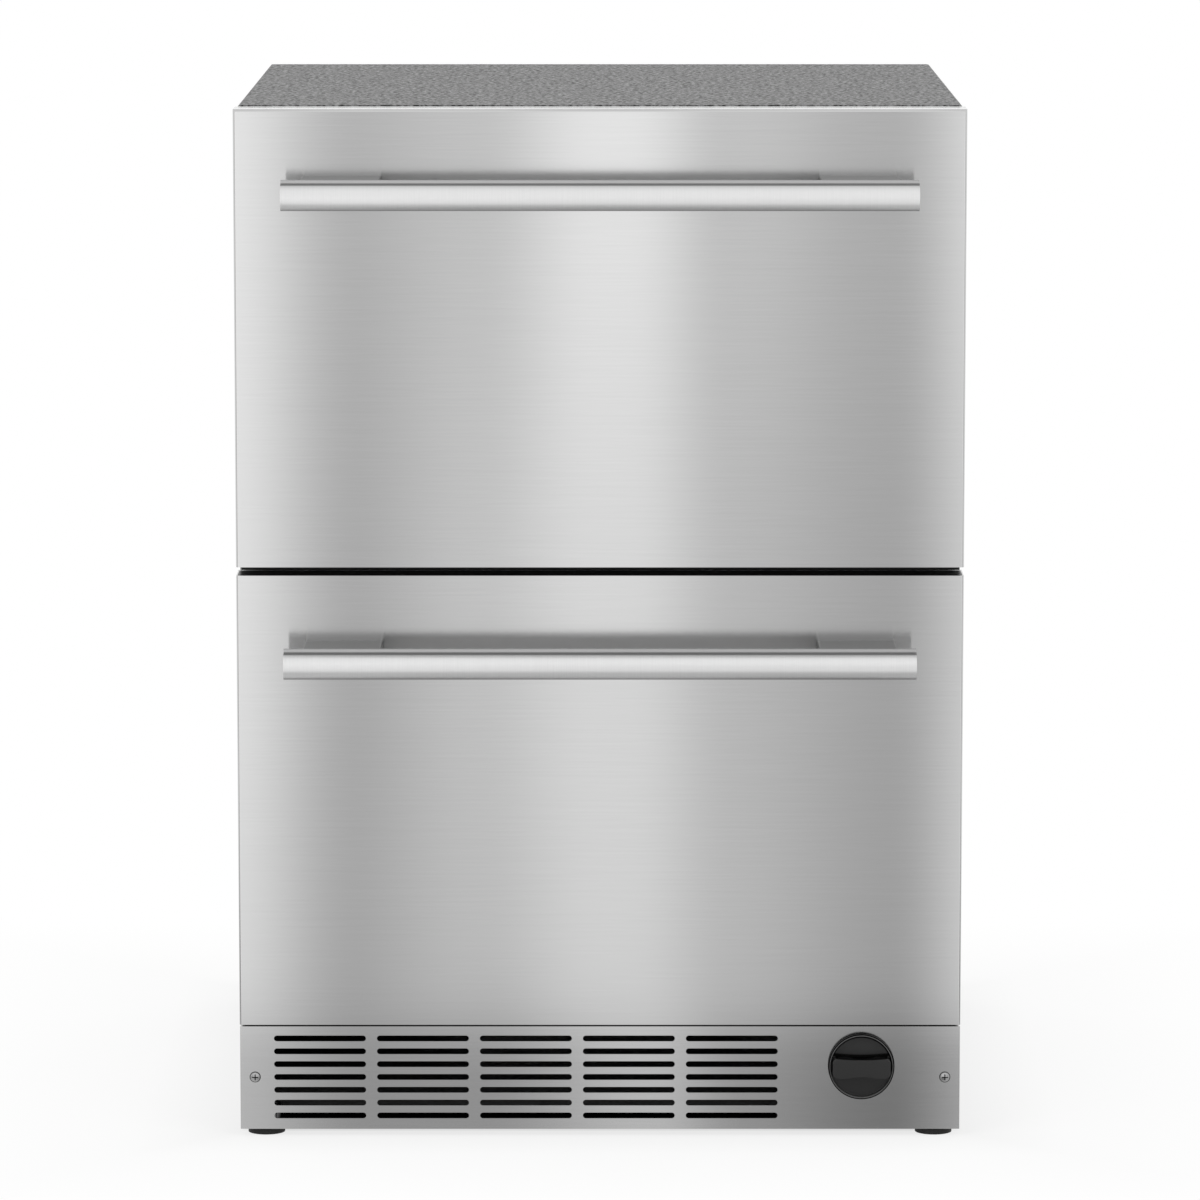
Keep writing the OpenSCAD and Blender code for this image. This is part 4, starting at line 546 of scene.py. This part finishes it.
def thread(name, x, y, around=40, rows_per_pitch=6):
    """A cylinder's skin whose radius swings from root to crest once in every pitch: with
    angle a and height h, the phase is h/pitch - a/turn, and the ridge is its triangle wave.
    The ridge fades out over the first and the last pitch."""
    rows = int((thread_end - thread_start) / thread_pitch * rows_per_pitch)
    h = np.linspace(thread_start, thread_end, rows)[:, None]
    a = np.linspace(0, math.tau, around, endpoint=False)[None, :]
    ridge = 1 - np.abs(2 * ((h / thread_pitch - a / math.tau) % 1.0) - 1)
    fade = np.clip(np.minimum(h - thread_start, thread_end - h) / thread_pitch, 0, 1)
    r = thread_root + (thread_crest - thread_root) * ridge * fade
    return surface(name, np.stack([x + r * np.cos(a), y + r * np.sin(a), h + 0 * r], -1), close_rows=True)


for leg in ("leg_front_left", "leg_front_right", "leg_rear_left", "leg_rear_right"):
    low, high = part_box(leg)
    skin = thread(leg + "_thread", (low.x + high.x) / 2, (low.y + high.y) / 2)
    skin.data.materials.append(finishes["slide_zinc"])
    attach(skin, leg)
print("leg threads: M10, pitch", thread_pitch * 1e3, "mm")

# %% [markdown]
# ## Camera
#
# The photograph was taken straight on, from about five metres and from well above worktop
# height, with a long lens: the sides stay hidden and a thin strip of the top shows. The
# distance sets how much of the top is seen, and 5.5 m gives that strip its height. The lens
# then sets the size in the frame.

# %% Camera
view = bpy.data.cameras.new("camera")
view.lens, view.sensor_width = 200.07, 36.0
view.clip_start, view.clip_end = 0.1, 200.0
eye_y, eye_z, look_down = -5.7715, 1.2339, 8.034
camera = bpy.data.objects.new("camera", view)
camera.location = (0, eye_y, eye_z)
camera.rotation_euler = (math.radians(90 - look_down), 0, 0)
bpy.context.scene.collection.objects.link(camera)
bpy.context.scene.camera = camera
front_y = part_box("upper_front_skin")[0].y
print("camera", round(front_y - eye_y, 2), "m in front of the drawers, lens", round(view.lens, 2), "mm")

# %% [markdown]
# ## Plain light
#
# The sky gives half of the light from all round, and soft panels the rest, so that a
# colour comes out about as it is written. Rays that show a picture of the surroundings,
# from the camera, through glass or off a shiny surface, see plain white instead.

# %% World
def shows_picture(tree):
    """1 for camera, glossy and transmission rays, and 0 for the rays that carry light."""
    ray = add(tree, "LightPath").node.outputs
    seen = add(tree, "Math", {0: ray["Is Camera Ray"], 1: ray["Is Glossy Ray"]}, operation="MAXIMUM")
    return add(tree, "Math", {0: seen, 1: ray["Is Transmission Ray"]}, operation="MAXIMUM")


world = bpy.data.worlds.new("studio_sky")
world.use_nodes = True
bpy.context.scene.world = world
sky = world.node_tree
sky.nodes.clear()
level = add(sky, "MapRange", {"Value": shows_picture(sky), "To Min": 0.5, "To Max": 1.0})
add(sky, "OutputWorld", {"Surface": add(sky, "Background", {"Color": linear("#ffffff"), "Strength": level})})
print("sky: 0.5 as light, 1 as background")


# %% Lamps
faced_by_lamps = Vector((0, 0, 0.43))    # the middle of the object


def soft_panel(name, azimuth, elevation, share, size=2.4, distance=4.5):
    """A square lamp that faces the object. share is the light it gives a surface that faces
    it, where 1 shows a colour as written, so its power is share x pi^2 x distance^2."""
    a, e = math.radians(azimuth), math.radians(elevation)
    toward = Vector((math.sin(a) * math.cos(e), -math.cos(a) * math.cos(e), math.sin(e)))
    lamp = bpy.data.lights.new(name, "AREA")
    lamp.size, lamp.energy = size, share * math.pi ** 2 * distance ** 2
    made = bpy.data.objects.new(name, lamp)
    made.location = faced_by_lamps + toward * distance
    made.rotation_euler = toward.to_track_quat("Z", "Y").to_euler()
    made.visible_glossy = False
    bpy.context.scene.collection.objects.link(made)
    print(name, "power", round(lamp.energy), "W")


soft_panel("key_lamp", -40, 38, 0.26)
soft_panel("fill_lamp", 42, 34, 0.22)
soft_panel("back_left_lamp", -140, 36, 0.2)
soft_panel("back_right_lamp", 140, 36, 0.2)

# %% [markdown]
# ## Floor
#
# A plain pale floor runs on to the horizon. Close to the object it is painted board that
# takes the soft shadow; further out it turns into plain white, as a lit sweep does. Under
# the case the board is painted near black, as shade.

# %% Floor
line = np.linspace(-60, 60, 25)
u, v = np.meshgrid(line, line)
floor = surface("floor", np.stack([u, v, np.zeros_like(u)], -1))
made, tree, place = start_material("pale_painted_floor")
seen_under = 0.02    # the eye looks in under the grille as far as this
low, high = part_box("toe_grille")[0] + Vector((0, seen_under, 0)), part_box("outer_case")[1]
# the distance outside the footprint is the larger of |x - middle| - half and |y - middle| - half
beside = add(tree, "VectorMath", {0: place, 1: (low + high) / 2}, operation="SUBTRACT")
beside = add(tree, "VectorMath", {0: beside}, operation="ABSOLUTE")
beside = add(tree, "VectorMath", {0: beside, 1: (high - low) / 2}, operation="SUBTRACT")
beside = add(tree, "SeparateXYZ", {"Vector": beside}).node.outputs
outside = add(tree, "Math", {0: beside["X"], 1: beside["Y"]}, operation="MAXIMUM")
# reach grows by 1 in a metre, from 3 cm inside the footprint
reach = add(tree, "MapRange", {"Value": outside, "From Min": -0.03, "From Max": 0.97})
far = add(tree, "ValToRGB", {"Fac": reach}, [(0.0, 0.0), (0.03, 0.78), (0.12, 0.9), (0.4, 1.0)])
# painted shade: near black under the case, pale outside it
board = add(tree, "Mix", {0: far, 6: linear("#0c0c0c"), 7: linear("#f3f3f2")}, data_type="RGBA")
painted = add(tree, "BsdfPrincipled", {"Base Color": board, "Roughness": 0.9, "Specular IOR Level": 0.0})
white = add(tree, "Emission", {"Color": linear("#ffffff"), "Strength": 1.0})
share = add(tree, "Math", {0: far, 1: shows_picture(tree)}, operation="MULTIPLY")
add(tree, "OutputMaterial", {"Surface": add(tree, "MixShader", {0: share, 1: painted, 2: white})})
floor.data.materials.append(made)
print("floor", line[-1] - line[0], "m wide")

# %% [markdown]
# ## Reflector card
#
# Brushed steel is a mirror for its surroundings, so its light and dark bands come from
# what stands before it, not from paint. A studio hangs cards there. This one is a sweep
# along the floor, up and back over the object, lit in a few upright strips, and only
# reflections can see it.

# %% What the card's strips give
# Distance along the card from the foot of the object, at which each strip's strengths hold:
# on the floor, at the card's bend, half way up the fronts, and at their top
MARKS = (0.37, 0.55, 1.05, 1.50)
BASE_GLOW = (0.275, 0.54, 0.58, 0.69)
STRIPS = (  # front-plane x in metres: starts, full from, full to, ends; and strength at each mark
    (-0.80, -0.55, -0.320, -0.195, (0.30, 0.58, 0.72, 0.67)),    # bright left edge
    (-0.45, -0.30, 0.100, 0.250, (0.165, 0.0, 0.0, 0.0)),        # floor's wide glow
    (-0.26, -0.10, 0.080, 0.270, (0.0, 0.26, 0.225, 0.167)),     # wide soft glow
    (-0.20, -0.10, -0.080, 0.010, (0.0, 0.0, 0.095, 0.030)),     # left shoulder
    (-0.10, 0.035, 0.045, 0.125, (0.30, 0.0, 0.0, 0.0)),         # floor's main band
    (-0.10, 0.0, 0.025, 0.110, (0.0, 0.225, 0.32, 0.46)),        # main band
    (0.085, 0.125, 0.140, 0.210, (0.02, 0.015, 0.0, 0.07)),      # narrow band beside it
    (0.243, 0.335, 0.550, 0.800, (0.36, 0.56, 0.53, 0.60)),      # bright right edge
)
# Above the fronts the card is even: distance along it, and strength
EVEN = ((1.60, 1.03), (2.75, 1.0), (3.54, 0.87), (4.20, 0.64), (4.80, 0.42))
EVEN_FROM, EVEN_BY = 1.55, 1.70
print(len(STRIPS), "strips on the card")


def soft_step(t):
    """0 below 0, 1 above 1, and t^2 (3 - 2t) between."""
    t = np.clip(t, 0, 1)
    return t * t * (3 - 2 * t)


def card_glow(x, s):
    """Up the fronts, a base plus each strip's strength between soft edges; even above."""
    glow = np.interp(s, MARKS, BASE_GLOW)[:, None] + np.zeros_like(x)[None, :]
    for a, b, c, d, strengths in STRIPS:
        shape = soft_step((x - a) / (b - a)) * soft_step((d - x) / (d - c))
        glow += np.interp(s, MARKS, strengths)[:, None] * shape[None, :]
    rise = soft_step((s - EVEN_FROM) / (EVEN_BY - EVEN_FROM))[:, None]
    return glow * (1 - rise) + np.interp(s, *zip(*EVEN))[:, None] * rise


# %% The card's shape
# The card's path starts at the foot, and its slope turns from level to upright and on to
# level again, back over the object. Summing the slope's cosine and sine gives the points.
along_floor, bend_r, wall, top_r, roof = 0.63, 0.12, 1.78, 0.45, 1.45
off_front, off_floor, step = 0.004, 0.0006, 0.025
bend_end = along_floor + bend_r * math.pi / 2
s = np.arange(0, bend_end + wall + top_r * math.pi / 2 + roof, step)
middle = s + step / 2
slope = (np.clip((middle - along_floor) / bend_r, 0, math.pi / 2)
         + np.clip((middle - bend_end - wall) / top_r, 0, math.pi / 2))
out = off_front + np.concatenate([[0], np.cumsum(np.cos(slope) * step)[:-1]])
up = off_floor + np.concatenate([[0], np.cumsum(np.sin(slope) * step)[:-1]])
x = np.linspace(-1.3, 1.3, 261)    # one column in every centimetre
# a strip looks equally wide from the lens at any distance if it spreads as the path goes out
spread = 1 + out / (front_y - eye_y)
points = np.stack([x[None, :] * spread[:, None], front_y - out[:, None] + 0 * x[None, :],
                   up[:, None] + 0 * x[None, :]], -1)
card = surface("reflector_card", points)
print("card", round(float(s[-1]), 2), "m long, bends up at", along_floor, "m")

# %% The card's light
glow = card_glow(x, s)
mark = card.data.attributes.new("glow", "FLOAT", "POINT")
mark.data.foreach_set("value", glow.astype(np.float32).ravel())
made = bpy.data.materials.new("lit_reflector_card")
made.use_nodes = True
tree = made.node_tree
tree.nodes.clear()
strength = add(tree, "Attribute", attribute_name="glow").node.outputs["Fac"]
light = add(tree, "Emission", {"Color": linear("#ffffff"), "Strength": strength})
add(tree, "OutputMaterial", {"Surface": light})
card.data.materials.append(made)
card.visible_camera = card.visible_diffuse = card.visible_shadow = False
card.visible_transmission = card.visible_volume_scatter = False
print("card glow from", round(float(glow.min()), 2), "to", round(float(glow.max()), 2))

# %% [markdown]
# ## Last settings
#
# The plain view transform keeps colours as written.

# %% View transform
bpy.context.scene.view_settings.view_transform = "Standard"
